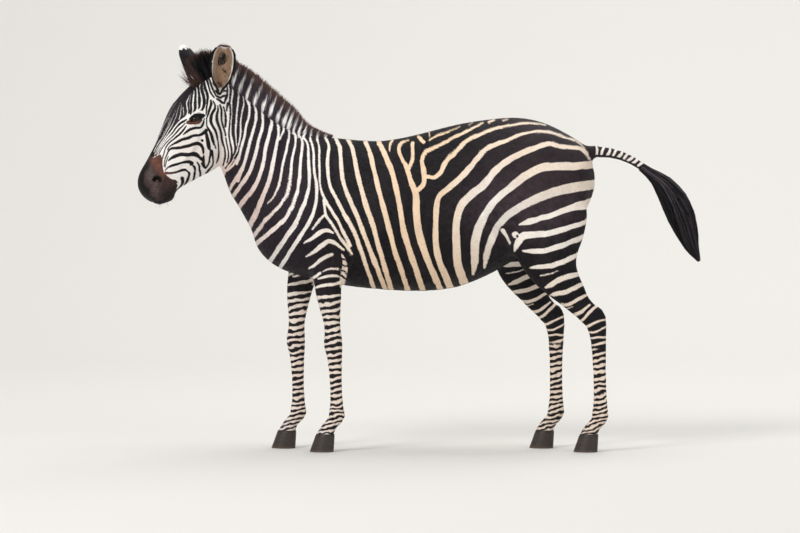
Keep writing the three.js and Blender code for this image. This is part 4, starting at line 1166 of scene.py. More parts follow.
def fold_body(points, normals, near, strength):
    """Muscles and folds of the body, drawn in the view and carried to both sides."""
    spots = to_view(near)
    height = np.zeros(len(points))
    for places, reach, amount in BODY_FORMS:
        path, _ = curve(numbers(places), 4)
        reach_px = reach / 4
        own = close_to(path, spots, reach_px * 2.4)
        distance = -nearest_on(path, np.zeros(len(path)), spots[own])
        height[own] += amount * 0.001 * np.exp(-(distance / reach_px) ** 2)
    facing = np.clip((np.abs(normals[:, 1]) - 0.25) / 0.4, 0, 1)
    ribs = np.sin(spots[:, 0] * 0.42 + (spots[:, 1] - 200) * 0.12)
    zone = np.exp(-((spots[:, 0] - 405) / 46) ** 2 - ((spots[:, 1] - 222) / 26) ** 2)
    height += 0.0007 * ribs * zone
    body = 1 - ramp(-0.06, 0.0, past(HEAD_CUT, points))
    return points + normals * (height * facing * body * strength)[:, None]


def shape_leg_joints(points, normals):
    """Knees, hocks, tendons, fetlocks and ergots."""
    z = points[:, 2]
    low = z < 0.72
    near = near_side(points)
    x = near[:, 0]
    fore, hind = (x < 0) & low, (x >= 0) & low
    side = np.clip(np.abs(normals[:, 1]), 0, 1)
    out = np.zeros(len(points))
    axis_x = (axis_at(z, axis, column(axis, 0)) for axis in (FORE_AXIS, HIND_AXIS))
    offset = x - np.where(fore, *axis_x)
    tendon = np.exp(-((offset - 0.010) / 0.006) ** 2) * side
    cannon = ramp(0.17, 0.21, z) * np.where(fore, ramp(0.38, 0.34, z), ramp(0.46, 0.42, z))
    out -= 0.0030 * tendon * cannon * (fore | hind)
    knee = fore * np.exp(-((z - 0.428) / 0.040) ** 2)
    out += 0.0030 * knee * np.clip(-normals[:, 0], 0, 1)
    out -= 0.0024 * fore * np.exp(-((z - 0.428) / 0.012) ** 2) * side * np.exp(-((offset - 0.004) / 0.012) ** 2)
    hock = hind * np.exp(-((z - 0.52) / 0.05) ** 2)
    out -= 0.0040 * hock * side * np.exp(-((offset - 0.020) / 0.012) ** 2)
    out += 0.0030 * hind * np.exp(-((z - 0.555) / 0.03) ** 2) * np.clip(normals[:, 0], 0, 1)
    fetlock = np.exp(-((z - 0.140) / 0.018) ** 2)
    out += 0.0030 * fetlock * np.clip(normals[:, 0], 0, 1) * (fore | hind)
    out -= 0.0015 * np.exp(-((z - 0.098) / 0.012) ** 2) * np.clip(normals[:, 0], 0, 1) * (fore | hind)
    return points + normals * out[:, None]


LID_HALF = 0.0245  # half the length of the eye's opening
LID_RISE = 0.0090  # height of the upper lid's edge over the middle
LID_DROP = 0.0058
LID_THICK = 0.0030
LID_ZONE = 0.060  # how far from the eye's middle the lids reach
LID_TILT = math.radians(-39)  # the opening's front corner sits lower


def eye_frame(side):
    """Centre of an eye and its own axes: forward along the opening, up, and outwards."""
    centre = from_head((EYE_PLACE[0], EYE_PLACE[1] * side, EYE_PLACE[2]))
    out = unit(HEAD_AXES[1] * side * 0.93 + HEAD_AXES[2] * 0.30 - HEAD_AXES[0] * 0.02)
    forward = unit(HEAD_AXES[0] - out * (HEAD_AXES[0] @ out))
    up = np.cross(forward, out) * side
    turn = LID_TILT
    return centre, np.cos(turn) * forward - np.sin(turn) * up, np.cos(turn) * up + np.sin(turn) * forward, out


def lid_edges(a):
    """Height of the upper and the lower lid's edge at a place along the opening."""
    t = np.clip(a / LID_HALF, -1, 1)
    upper = LID_RISE * (1 - np.abs(t) ** 2.3) ** 0.75 - 0.0015 * t
    lower = -LID_DROP * (1 - np.abs(t) ** 2.0) - 0.0015 * t
    return upper, lower


def past_lids(points, side):
    """Points seen from an eye: along its opening, up and out, the lids' edges there, and how far past them."""
    centre, forward, up, out = eye_frame(side)
    offset = points - centre
    a, b = offset @ forward, offset @ up
    upper, lower = lid_edges(a)
    beyond = np.maximum(np.maximum(b - upper, lower - b), np.abs(a) - LID_HALF)
    return SimpleNamespace(centre=centre, offset=offset, distance=np.linalg.norm(offset, axis=1), a=a, b=b,
                           c=offset @ out, upper=upper, lower=lower, beyond=beyond)


def open_lids(points, side):
    """Draws the skin over the eyeball as lids, and opens it between them."""
    eye = past_lids(points, side)
    own = ((eye.distance < LID_ZONE) & (eye.c > -0.004)).nonzero()[0]
    a, b, upper, lower, beyond = (v[own] for v in (eye.a, eye.b, eye.upper, eye.lower, eye.beyond))
    radial, length_now = unit(eye.offset[own]), eye.distance[own]
    shell = EYE_RADIUS + LID_THICK
    over = np.sqrt(np.maximum(shell ** 2 - a ** 2 - b ** 2, 0))
    # the lids lie on the ball near its middle and run out into the face round it
    near_ball = ramp(0.034, 0.020, np.hypot(a, b))
    lifted = np.maximum(length_now, shell)
    target = radial * (length_now + near_ball * (lifted - length_now))[:, None]
    hollow = ramp(0.0020, -0.0004, beyond)
    sunk = radial * np.minimum(length_now, EYE_RADIUS - 0.0075)[:, None]
    rim = np.exp(-((beyond - 0.0030) / 0.0026) ** 2) * 0.0012
    crease = np.exp(-((b - upper - 0.0095) / 0.0028) ** 2) * ramp(0.030, 0.018, np.abs(a)) * 0.0022
    below = np.exp(-((lower - b - 0.0080) / 0.0030) ** 2) * ramp(0.028, 0.014, np.abs(a)) * 0.0014
    target = target + radial * ((rim - crease - below) * near_ball)[:, None]
    moved = points.copy()
    moved[own] = eye.centre + target + hollow[:, None] * (sunk - target)
    return moved


def head_points(places, side):
    return from_head([(u * 0.001, w * 0.001 * side, v * 0.001) for u, w, v in places])


# Steps that shape mouth and nostrils: a path, how far it reaches to its sides, and its height (metres).
HEAD_STEPS = (
    ((MOUTH, (0.0032, 0.0036, 0.0030), -0.0050), (LOWER_LIP, (0.007, 0.008, 0.007), 0.0016)),
    ((NOSTRIL, (0.013, 0.016, 0.014), 0.0040), (NOSTRIL_FLAP, (0.010, 0.012, 0.010), 0.0034)),
    ((NOSTRIL, (0.0058, 0.0090, 0.0084, 0.0060), -0.0200),),
)


def shape_head(points, normals_for):
    """Bones, muscles, lips and nostrils of the head."""
    for *places, reach, height in HEAD_FORMS:
        for side in (1, -1):
            path = head_points(places, side)
            points = pushed(points, normals_for(points), path, np.array(reach) * 0.001, height * 0.001)
    for step in HEAD_STEPS:
        normals = normals_for(points)
        for side in (1, -1):
            for places, reach, height in step:
                points = pushed(points, normals, head_points(places, side), reach, height)
    return points


def make_ear(side):
    """One ear's skin as a closed cup: points, faces, and how far inside the cup each point is."""
    foot, turns = EARS[side]
    turn = np.eye(3)
    for axis, degrees in enumerate(turns):
        turn = turn @ turned(axis, math.radians(degrees))
    rows, arc = EAR_GRID
    shares = np.linspace(0, 1, rows) ** 0.9
    table = np.array(EAR_ROWS, float)
    smooth, at = curve(table, 0.02)
    half, depth, fold = (np.interp(shares, smooth[:, 0], smooth[:, k]) for k in (1, 2, 3))
    place = from_head(foot)
    outer, inner, cups = [], [], []
    for r, share in enumerate(shares):
        wrap = math.radians(fold[r])
        angles = np.linspace(-wrap, wrap, arc)
        thick = min(0.0075, half[r] * 0.42, depth[r] * 0.42)
        coat = min(0.0008, thick * 0.2)
        edge = np.abs(np.linspace(-1, 1, arc)) ** 6
        ridge = 0.0011 * np.sin(angles * 7 + share * 3) * (1 - edge) * ramp(0.1, 0.5, np.array(share))
        near_top = ramp(1.0, 0.93, np.array(share))
        for inset, target in ((coat + edge * thick * 0.22, outer),
                              (thick - edge * thick * 0.30 + ridge * near_top, inner)):
            across = (half[r] - inset) * np.sin(angles)
            back = (depth[r] - inset) * np.cos(angles)
            up = np.full(arc, share * EAR_LENGTH - 0.002 * share)
            target.append(place + np.stack((across, back, up), 1) @ turn.T)
        cups.append(np.stack((np.full(arc, share), angles / wrap), 1))
    outer, inner, cups = np.array(outer), np.array(inner), np.array(cups)
    count = rows * arc
    points = np.vstack((outer.reshape(-1, 3), inner.reshape(-1, 3)))
    quads = []
    grid = np.arange(count).reshape(rows, arc)
    a, b, c, d = grid[:-1, :-1], grid[:-1, 1:], grid[1:, 1:], grid[1:, :-1]
    sheet = np.stack((a, b, c, d), -1).reshape(-1, 4)
    quads.append(sheet)
    quads.append(sheet[:, ::-1] + count)
    for k, flip in ((0, 1), (arc - 1, -1)):
        lip = np.stack((grid[:-1, k], grid[1:, k], grid[1:, k] + count, grid[:-1, k] + count), -1)
        quads.append(lip[:, ::flip])
    for k, flip in ((0, -1), (rows - 1, 1)):
        lip = np.stack((grid[k, :-1], grid[k, 1:], grid[k, 1:] + count, grid[k, :-1] + count), -1)
        quads.append(lip[:, ::-flip])
    faces = np.vstack(quads)
    within = np.concatenate((np.zeros(count), np.ones(count)))
    cups = np.vstack((cups.reshape(-1, 2), cups.reshape(-1, 2)))
    return points, faces, within, cups


def ear_colours(within, cups, palette, points):
    """Stripe, light and dark values of an ear: dark rim, pale tip, pale lining with painted shade in its hollow."""
    share, across = cups[:, 0], np.abs(cups[:, 1])
    back_bands = np.cos(share * 19 + 0.6) * 2.2 - 0.6
    back = np.where(share < 0.42, back_bands, -4.0)
    back = np.where(share > 0.885 + 0.02 * wobble(points, 0.02, 9), 4.0, back)
    back = np.where((across > 0.70) & (share < 0.90), -4.0, back)
    streaks = wobble(np.stack((cups[:, 1] * 0.9, share * 0.5, share * 0), 1), 0.35, 8)
    # painted shade: the lining made dark where the cup's opening lies in shadow
    hollow = np.exp(-((share - 0.66) / 0.15) ** 2 - ((cups[:, 1] + 0.02 + 0.4 * (share - 0.66)) / 0.25) ** 2) \
        + 0.8 * np.exp(-((share - 0.44 + 0.2 * cups[:, 1]) / 0.045) ** 2 - ((cups[:, 1] - 0.14) / 0.22) ** 2) \
        + 0.6 * np.exp(-((share - 0.28 - 0.15 * cups[:, 1]) / 0.04) ** 2 - ((cups[:, 1] - 0.04) / 0.20) ** 2)
    lining = 3.4 - 7.5 * hollow + 1.6 * streaks
    rim = 0.73 + 0.02 * wobble(points, 0.03, 10)
    lining = np.where((share > 0.88) | (across > rim - 0.12), 4.0, lining)
    lining = np.where((across > rim) | (share > 0.935), -4.0, lining)
    lining = np.where((share > 0.966) | ((share > 0.91) & (across > 0.88)), 4.0, lining)
    stripe = np.where(within > 0.5, lining, back)
    light = np.where(within[:, None] > 0.5, np.array(palette.ear_inside), np.array(palette.white))
    light = light * np.where(within > 0.5, 1.0 - 0.45 * ramp(0.3, 0.0, share), 1.0)[:, None]
    edge = (within > 0.5) * np.maximum(ramp(rim - 0.14, rim - 0.08, across), 0.8 * ramp(0.86, 0.90, share))
    light = mixed(light, palette.white, np.maximum(0.7 * edge, share > 0.90))
    dark = np.tile(np.array(palette.black) * 0.9, (len(points), 1))
    return stripe, light, dark


HORN_TOP = 0.058  # below this height the foot is drawn in under the horn, and off the floor


def drawn_into_horn(points):
    points = points.copy()
    for x, y in HOOVES.values():
        middle = np.array((x + SHIFT - 0.008, y))
        own = (points[:, 2] < HORN_TOP) & (np.linalg.norm(points[:, :2] - middle, axis=1) < 0.09)
        low = HORN_TOP - points[own, 2]
        points[own, :2] = middle + (points[own, :2] - middle) * (1 - 0.40 * ramp(0.0, 0.030, low))[:, None]
        points[own, 2] += 0.4 * low
    return points


class ZEBRA_OT_skin(bpy.types.Operator):
    """One skin over the whole body, with its folds, lids, lips, nostrils and ears, coloured with the stripes"""
    bl_idname = "zebra.skin"
    bl_label = "Skin"

    def execute(self, context):
        settings, palette = context.scene.zebra_skin, context.scene.zebra_colour
        mesh = flesh_object(settings.mesh_size)
        even, edges, triangles = evened(mesh, settings.rounding)
        mesh.vertices.foreach_set("co", even.astype(np.float32).ravel())
        mesh.update()
        near_head = past(HEAD_CUT, face_centres(mesh)) > -0.02
        finer(mesh, near_head)
        fine = []
        for side in (1, -1):
            fine.append((from_head((EYE_PLACE[0], EYE_PLACE[1] * side, EYE_PLACE[2])), 0.046))
            fine.append((from_head((0.470, 0.052 * side, -0.060)), 0.038))
        centres = face_centres(mesh)
        chosen = np.zeros(len(centres), bool)
        for centre, reach in fine:
            chosen |= np.linalg.norm(centres - centre, axis=1) < reach
        mouth, _ = curve(np.vstack((head_points(MOUTH[::-1], 1), head_points(MOUTH[1:], -1))), 0.005)
        box = close_to(mouth, centres, 0.02).nonzero()[0]
        gap = np.full(len(box), 9.0)
        for spot in mouth:
            gap = np.minimum(gap, np.linalg.norm(centres[box] - spot, axis=1))
        chosen[box] |= gap < 0.009
        finer(mesh, chosen)
        points, triangles, normals = mesh_arrays(mesh)
        edges = edges_of(mesh)
        on_head = ramp(-0.03, 0.0, past(HEAD_CUT, points))
        points = relax(points, edges, 0.5 * on_head, 8)
        near = near_side(points)
        strength = settings.fold_depth
        outline = points.copy()
        points = fold_body(points, normals_of(points, triangles), near, strength)
        points = shape_leg_joints(points, normals_of(points, triangles))
        points = shape_head(points, lambda p: normals_of(p, triangles))
        normals = normals_of(points, triangles)
        z = points[:, 2]
        foot = ramp(HOOF_TOP + 0.004, HOOF_TOP - 0.006, z)
        face_depth = 0.5 + 0.5 * ramp(0.05, -0.02, past(HEAD_CUT, points))
        depth = GROW + settings.coat_depth * face_depth + foot * 0.007
        points = points - normals * depth[:, None]
        points = drawn_into_horn(points)
        for side in (1, -1):
            points = open_lids(points, side)
        stripe = stripes(outline)
        light, dark = tones(outline, palette)
        # dark edges of the lids, and painted shade in the nostrils
        lid_dark = np.zeros(len(points))
        for side in (1, -1):
            eye = past_lids(points, side)
            broad = np.where(eye.b < eye.lower, 0.0030, 0.0066)
            on_lid = (eye.distance < 0.05) & (eye.c > 0)
            lid_dark = np.maximum(lid_dark, ramp(broad, broad * 0.4, eye.beyond) * on_lid)
        stripe = np.where(lid_dark > 0.4, np.minimum(stripe, -3 * lid_dark), stripe)
        dark = dark + (lid_dark * 0.95)[:, None] * (np.array(palette.black) * 0.6 - dark)
        # painted shade: the skin darkened in and round the hollow of each nostril
        shade = np.ones(len(points))
        for side in (1, -1):
            path, _ = laid_on(outline, head_points(NOSTRIL, side), 0.003)
            gap = np.full(len(points), 9.0)
            own = (np.linalg.norm(points - path.mean(0), axis=1) < 0.05).nonzero()[0]
            for spot in path:
                gap[own] = np.minimum(gap[own], np.linalg.norm(outline[own] - spot, axis=1))
            shade = np.minimum(shade, 1 - 0.88 * ramp(0.0105, 0.0065, gap))
        corners, totals, starts = corners_of(mesh)
        faces = [corners[starts[totals == size][:, None] + np.arange(size)] for size in (3, 4)]
        body_count = count = len(points)
        for side in ("left", "right"):
            ear_points, ear_faces, within, cups = make_ear(side)
            ear_stripe, ear_light, ear_dark = ear_colours(within, cups, palette, ear_points)
            faces.append(ear_faces + count)
            count += len(ear_points)
            points = np.vstack((points, ear_points))
            stripe = np.concatenate((stripe, ear_stripe))
            light, dark = np.vstack((light, ear_light)), np.vstack((dark, ear_dark))
            shade = np.concatenate((shade, np.ones(len(ear_points))))
        material = striped_surface("skin", 0.62, 1.2, 0.35, bump=0.5, specular=0.22)
        skin = new_object("skin", points, faces, material)
        bpy.data.meshes.remove(mesh)
        values = {"stripe": stripe, "light": light, "dark": dark, "shade": shade,
                  "ear": np.arange(count) >= body_count}
        for name, value in values.items():
            set_attribute(skin.data, name, value)
        chart_skin(skin.data)
        placed(skin, "coat", *FLESH, *EAR_NODES)
        return {"FINISHED"}


# ---------------------------------------------------------------- hair built from blades
def strips(rows, segments):
    """Tapered strips from pairs of rows and a last row of tips: points and triangles."""
    points = np.stack(rows, 1).reshape(-1, 3)
    local = [t for k in range(0, 2 * segments - 2, 2) for t in ((k, k + 1, k + 3), (k, k + 3, k + 2))]
    local.append((2 * segments - 2, 2 * segments - 1, 2 * segments))
    starts = np.arange(len(points) // len(rows))[:, None, None] * len(rows)
    return points, (starts + np.array(local)[None]).reshape(-1, 3)


def across_way(facing, way):
    """Facing turned square to the way."""
    return unit(facing - way * (facing * way).sum(1, keepdims=True))


def blades(roots, directions, normals, lengths, widths, lifts, segments, bend=None):
    """Tapered strips: points, triangles and each point's share of the way to the tip.
    lifts is how far each tip stands off, and bend is added to the way with the square of the share."""
    across = unit(np.cross(normals, directions))
    rows, steps = [], []
    for share in np.arange(segments) / segments:
        way = directions * (lengths * share)[:, None] + normals * (lifts * share ** 0.8)[:, None]
        if bend is not None:
            way = way + bend * share ** 2
        half = (widths / 2 * (1 - 0.55 * share ** 1.5))[:, None]
        rows += [roots + way - across * half, roots + way + across * half]
        steps += [share, share]
    way = directions * lengths[:, None] + normals * lifts[:, None]
    if bend is not None:
        way = way + bend
    rows.append(roots + way)
    steps.append(1.0)
    points, triangles = strips(rows, segments)
    return points, triangles, np.tile(steps, len(roots)), len(rows)


PATCH = 0.003  # width of a tuft's patch in the bake map


def tuft_map(mesh, place, triangles, each, steps):
    """A small patch of the bake map for each tuft, at its root's place."""
    index = triangles.ravel()
    owner = index // each
    within = index % each
    across = np.where(within == each - 1, 0.5, within % 2)
    offset = np.stack((across - 0.5, steps[index] - 0.5), 1) * PATCH
    set_bake_map(mesh, np.clip(place[owner] + offset, 0.001, 0.999))


def lie_of_coat(points):
    """The way the coat lies: down the face, back along the body, down the legs."""
    x, z = points[:, 0], points[:, 2]
    cheek = ramp(-0.10, -0.20, to_head(points)[:, 2])[:, None]
    face = HEAD_AXES[0] * (1 - 0.5 * cheek) - HEAD_AXES[2] * (0.15 + 0.75 * cheek)
    way = np.tile(np.array((0.80, 0.0, -0.45)), (len(points), 1))
    for share, towards in (
            (ramp(-0.42, -0.60, x), (0.42, 0, -0.9)),  # neck
            (ramp(0.35, 0.62, x), (0.35, 0, -0.9)),  # haunch
            (ramp(0.0, 0.03, past(TAIL_CUT, points)) * (z > 0.95), (0.94, 0.05, -0.34)),  # tail
            (ramp(0.85, 0.62, z), (0.05, 0, -1.0)),  # legs
            (ramp(-0.03, 0.03, past(HEAD_CUT, points)), face)):
        way += share[:, None] * (np.array(towards) - way)
    return unit(way)


def scattered(rng, points, triangles, weights, count):
    """Random places on triangles: which triangle, and the shares of its corners."""
    a, b, c = (points[triangles[:, k]] for k in range(3))
    area = np.linalg.norm(np.cross(b - a, c - a), axis=1) / 2 * weights
    chance = np.cumsum(area)
    picked = np.searchsorted(chance, rng.uniform(0, chance[-1], count))
    picked = np.minimum(picked, len(triangles) - 1)
    u, v = rng.uniform(size=count), rng.uniform(size=count)
    flip = u + v > 1
    u, v = np.where(flip, 1 - u, u), np.where(flip, 1 - v, v)
    return picked, np.stack((1 - u - v, u, v), 1)


def at_places(values, triangles, picked, shares):
    corners = values[triangles[picked]]
    if corners.ndim == 2:
        return (corners * shares).sum(1)
    return (corners * shares[:, :, None]).sum(1)


# Narrowest and broadest hair of each kind.
HAIR_WIDTHS = {"mane": (0.0022, 0.0040), "forelock": (0.0020, 0.0036), "tail": (0.0012, 0.0026),
               "ear": (0.0009, 0.0018), "lash": 0.0008, "whisker": 0.0007}
COAT_PIECES = ("coat_head", "coat_neck", "coat_trunk_left", "coat_trunk_right", "coat_legs_front",
               "coat_legs_hind")
COAT_LIMIT = 64000  # blades in one piece, of 3 triangles


def coat_piece_of(points):
    """Which of the coat's pieces points belong to: the trunk and tail are parted into left and right."""
    piece = np.array((0, 1, 2, 2, 4, 4, 5, 5))[part_of(points)]
    return piece + ((piece == 2) & (points[:, 1] >= 0))


def coat_sizes(points, settings):
    """Length of a tuft at points: shortest on the face and feet."""
    z = points[:, 2]
    length_at = np.full(len(points), settings.body_length)
    low = ramp(0.75, 0.40, z)
    length_at += low * (settings.foot_length - length_at)
    head = ramp(-0.05, 0.03, past(HEAD_CUT, points))
    length_at += head * (settings.face_length - length_at)
    down = to_head(points)[:, 0]
    length_at *= 1 - 0.45 * head * ramp(0.38, 0.46, down)
    return length_at


class ZEBRA_OT_coat(bpy.types.Operator):
    """Short flat tufts over the whole skin, with the same markings"""
    bl_idname = "zebra.coat"
    bl_label = "Coat"

    def execute(self, context):
        settings = context.scene.zebra_coat
        skin = bpy.data.objects["skin"]
        points, triangles, normals = mesh_arrays(skin.data)
        rng = np.random.default_rng(11)
        sizes = coat_sizes(points, settings)
        centres = points[triangles].mean(1)
        weights = (settings.body_length / sizes[triangles].mean(1)) ** 1.25
        weights[centres[:, 2] < HOOF_TOP - 0.001] = 0
        for side in (1, -1):
            eye = past_lids(centres, side)
            weights[(eye.beyond < 0.003) & (eye.distance < 0.045)] = 0
            nose = np.linalg.norm(centres - from_head((0.486, 0.052 * side, -0.060)), axis=1)
            weights[nose < 0.012] = 0
        count = settings.blades // 1
        picked, shares = scattered(rng, points, triangles, weights, count)
        roots = at_places(points, triangles, picked, shares)
        facing = unit(at_places(normals, triangles, picked, shares))
        values = {name: at_places(get_attribute(skin.data, name), triangles, picked, shares)
                  for name in ("stripe", "light", "dark", "ear")}
        way = lie_of_coat(roots)
        way[values["ear"] > 0.5] = (0, 0, 1)
        way = way + 0.16 * rng.normal(size=way.shape)
        way = across_way(way, facing)
        lengths = at_places(sizes, triangles, picked, shares) * rng.uniform(0.75, 1.25, count)
        lengths = np.where(values["ear"] > 0.5, lengths * 0.7, lengths)
        widths = lengths / settings.slimness
        lifts = lengths * rng.uniform(0.05, 0.14, count)
        # the skin's painted shade in the nostrils, with a random tone for each tuft
        shades = at_places(get_attribute(skin.data, "shade"), triangles, picked, shares)
        shades = shades * rng.uniform(0.86, 1.1, count)
        piece = coat_piece_of(roots)
        place = charted(roots)
        material = striped_surface("coat", 0.72, 0.6, 0.3, specular=0.16)
        for number, name in enumerate(COAT_PIECES):
            own = (piece == number).nonzero()[0][:COAT_LIMIT]
            if not len(own):
                continue
            made = blades(roots[own] - facing[own] * 0.0004, way[own], facing[own], lengths[own], widths[own],
                          lifts[own], 2)
            tuft_points, tuft_triangles, steps, each = made
            tufts = new_object(name, tuft_points, tuft_triangles, material, smooth=True)
            for key in ("light", "dark"):
                set_attribute(tufts.data, key, np.repeat(values[key][own], each, 0))
            corners = tuft_points.reshape(-1, each, 3)
            spine = np.stack((corners[:, :2].mean(1), corners[:, 2:4].mean(1), corners[:, 4]), 1)
            along = stripes(spine.reshape(-1, 3)).reshape(-1, 3)[:, (0, 0, 1, 1, 2)]
            apart = values["stripe"][own] - along[:, 0]
            apart = np.where(np.abs(apart) > 1.2, apart, 0)[:, None]
            along = np.where(values["ear"][own, None] > 0.5, values["stripe"][own, None], along + apart)
            along = along + rng.normal(0, 0.15, (len(own), 1))
            set_attribute(tufts.data, "stripe", along.ravel())
            # painted shade: each tuft darker at its root than at its tip
            tip_shade = np.repeat(shades[own], each) * (0.86 + 0.18 * steps)
            set_attribute(tufts.data, "shade", tip_shade)
            low, high = place[own].min(0), place[own].max(0)
            spread = 0.01 + 0.98 * (place[own] - low) / (high - low)
            tuft_map(tufts.data, spread, tuft_triangles, each, steps)
            placed(tufts, "coat")
        return {"FINISHED"}


def hair_piece(name, made, tint, across, up, material, slot="hair", *nodes):
    """A piece of long hair; across and up are the roots' places in its bake map, from 0 to 1."""
    points, triangles, steps, each = made
    hair = new_object(name, points, triangles, material)
    set_attribute(hair.data, "tint", np.clip(tint, 0, 1))
    place = np.stack((0.02 + 0.96 * across, up), 1)
    tuft_map(hair.data, np.clip(place, 0.01, 0.99), triangles, each, steps)
    return placed(hair, slot, *nodes)


def mixed(base, other, share):
    share = np.asarray(share)[..., None]
    return np.asarray(base) * (1 - share) + np.asarray(other) * share


class ZEBRA_OT_mane(bpy.types.Operator):
    """The upright mane in stiff locks, banded at its foot"""
    bl_idname = "zebra.mane"
    bl_label = "Mane"

    def execute(self, context):
        settings, palette = context.scene.zebra_hair, context.scene.zebra_colour
        rng = np.random.default_rng(21)
        count = settings.mane_locks // 1
        table, _ = curve(np.array(MANE), 0.006)
        way = way_along(table[:, :2])
        way /= way[-1]
        share = rng.uniform(0, 1, count)
        foot = rows_at(share, way, table)
        tip = rows_at(np.minimum(share + 0.028 + 0.02 * (1 - share), 1), way, table)
        side = rng.uniform(-1, 1, count)
        side = np.sign(side) * np.abs(side) ** 0.7
        half = foot[:, 5] - 0.003
        roots = np.stack((foot[:, 0] + SHIFT, foot[:, 4] + side * half, foot[:, 1] - 0.004), 1)
        tall = rng.uniform(0.80, 1.0, count) * (1 - 0.10 * np.abs(side) ** 2)
        uneven = 1 - 0.05 * np.clip(wobble(np.stack((share * 6, share, share), 1), 0.12, 31), -1, 1)
        short = (rng.uniform(size=count) < 0.25) * rng.uniform(0.2, 0.5, count)
        tall = tall * np.minimum(uneven, 1) * (1 - short)
        tips = np.stack((tip[:, 2] + SHIFT, tip[:, 4] + side * half * 0.62, tip[:, 3] - 0.002), 1)
        tips = roots + (tips - roots) * tall[:, None]
        tips[:, 0] += rng.normal(0, 0.0035, count)
        tips[:, 1] += rng.normal(0, 0.0020, count)
        vector = tips - roots
        lengths = np.linalg.norm(vector, axis=1)
        facing = unit(np.stack((0.25 * rng.normal(size=count), np.sign(side) + 0.4 * rng.normal(size=count),
                                0.1 * rng.normal(size=count)), 1))
        direction = unit(vector)
        facing = across_way(facing, direction)
        made = blades(roots, direction, facing, lengths, rng.uniform(*HAIR_WIDTHS["mane"], count),
                      np.zeros(count), 5)
        points, triangles, steps, each = made
        spots = to_view(near_side(points))
        band = strokes_over(np.full(len(points), -8.0), spots, MANE_WHITES, True)
        jitter = np.repeat(rng.normal(0, 0.45, count), each)
        white = ramp(-0.5, 0.5, band + jitter) * ramp(0.92, 0.55, steps * np.repeat(tall, each))
        base = mixed(palette.mane, palette.mane_tip, 0.85 * ramp(0.55, 1.0, steps * np.repeat(tall, each)))
        tint = mixed(base, np.array(palette.white) * 1.2, white)
        tint = tint * np.repeat(rng.uniform(0.80, 1.15, count), each)[:, None]
        material = tinted_surface("mane", 0.55, specular=0.3)
        hair_piece("mane_hair", made, tint, share, 0.5 + 0.45 * side, material, "hair", "mane")
        return {"FINISHED"}


class ZEBRA_OT_forelock(bpy.types.Operator):
    """The forelock between the ears"""
    bl_idname = "zebra.forelock"
    bl_label = "Forelock"

    def execute(self, context):
        settings, palette = context.scene.zebra_hair, context.scene.zebra_colour
        rng = np.random.default_rng(22)
        count = settings.forelock_locks // 1
        table, _ = curve(np.array(FORELOCK), 0.004)
        way = np.linspace(0, 1, len(table))
        stray = rng.uniform(size=count) < 0.045
        share = np.where(stray, rng.uniform(0.54, 0.86, count), rng.uniform(0, 0.57, count))
        row = rows_at(share, way, table)
        side = rng.uniform(-1, 1, count)
        foot = np.stack((row[:, 0], side * (row[:, 4] - 0.002), row[:, 1]), 1)
        tip = np.stack((row[:, 2], side * row[:, 4] * 0.8, row[:, 3]), 1)
        tall = np.where(stray, rng.uniform(0.5, 1.0, count), rng.uniform(0.50, 1.0, count) ** 0.8)
        loose = np.where(stray, 0.010, 0.004)[:, None]
        tip = foot + (tip - foot) * tall[:, None] + rng.normal(0, 1, (count, 3)) * loose
        roots, tips = from_head(foot), from_head(tip)
        vector = tips - roots
        lengths = np.linalg.norm(vector, axis=1)
        direction = unit(vector)
        facing = unit(np.cross(direction, unit(rng.normal(size=(count, 3)))))
        slim = rng.uniform(*HAIR_WIDTHS["forelock"], count) * np.where(stray, 0.45, 1.0)
        made = blades(roots, direction, facing, lengths, slim, np.zeros(count), 5)
        points, triangles, steps, each = made
        high = steps * np.repeat(tall, each)
        reddish = np.maximum(0.75 * ramp(0.78, 1.05, high), np.repeat(stray * 0.55, each))
        tint = mixed(palette.tail, palette.mane_tip, reddish)
        tint = tint * np.repeat(rng.uniform(0.7, 1.2, count), each)[:, None]
        material = tinted_surface("forelock", 0.5, specular=0.35)
        hair_piece("forelock_hair", made, tint, share, 0.5 + 0.45 * side, material, "hair", "forelock")
        return {"FINISHED"}


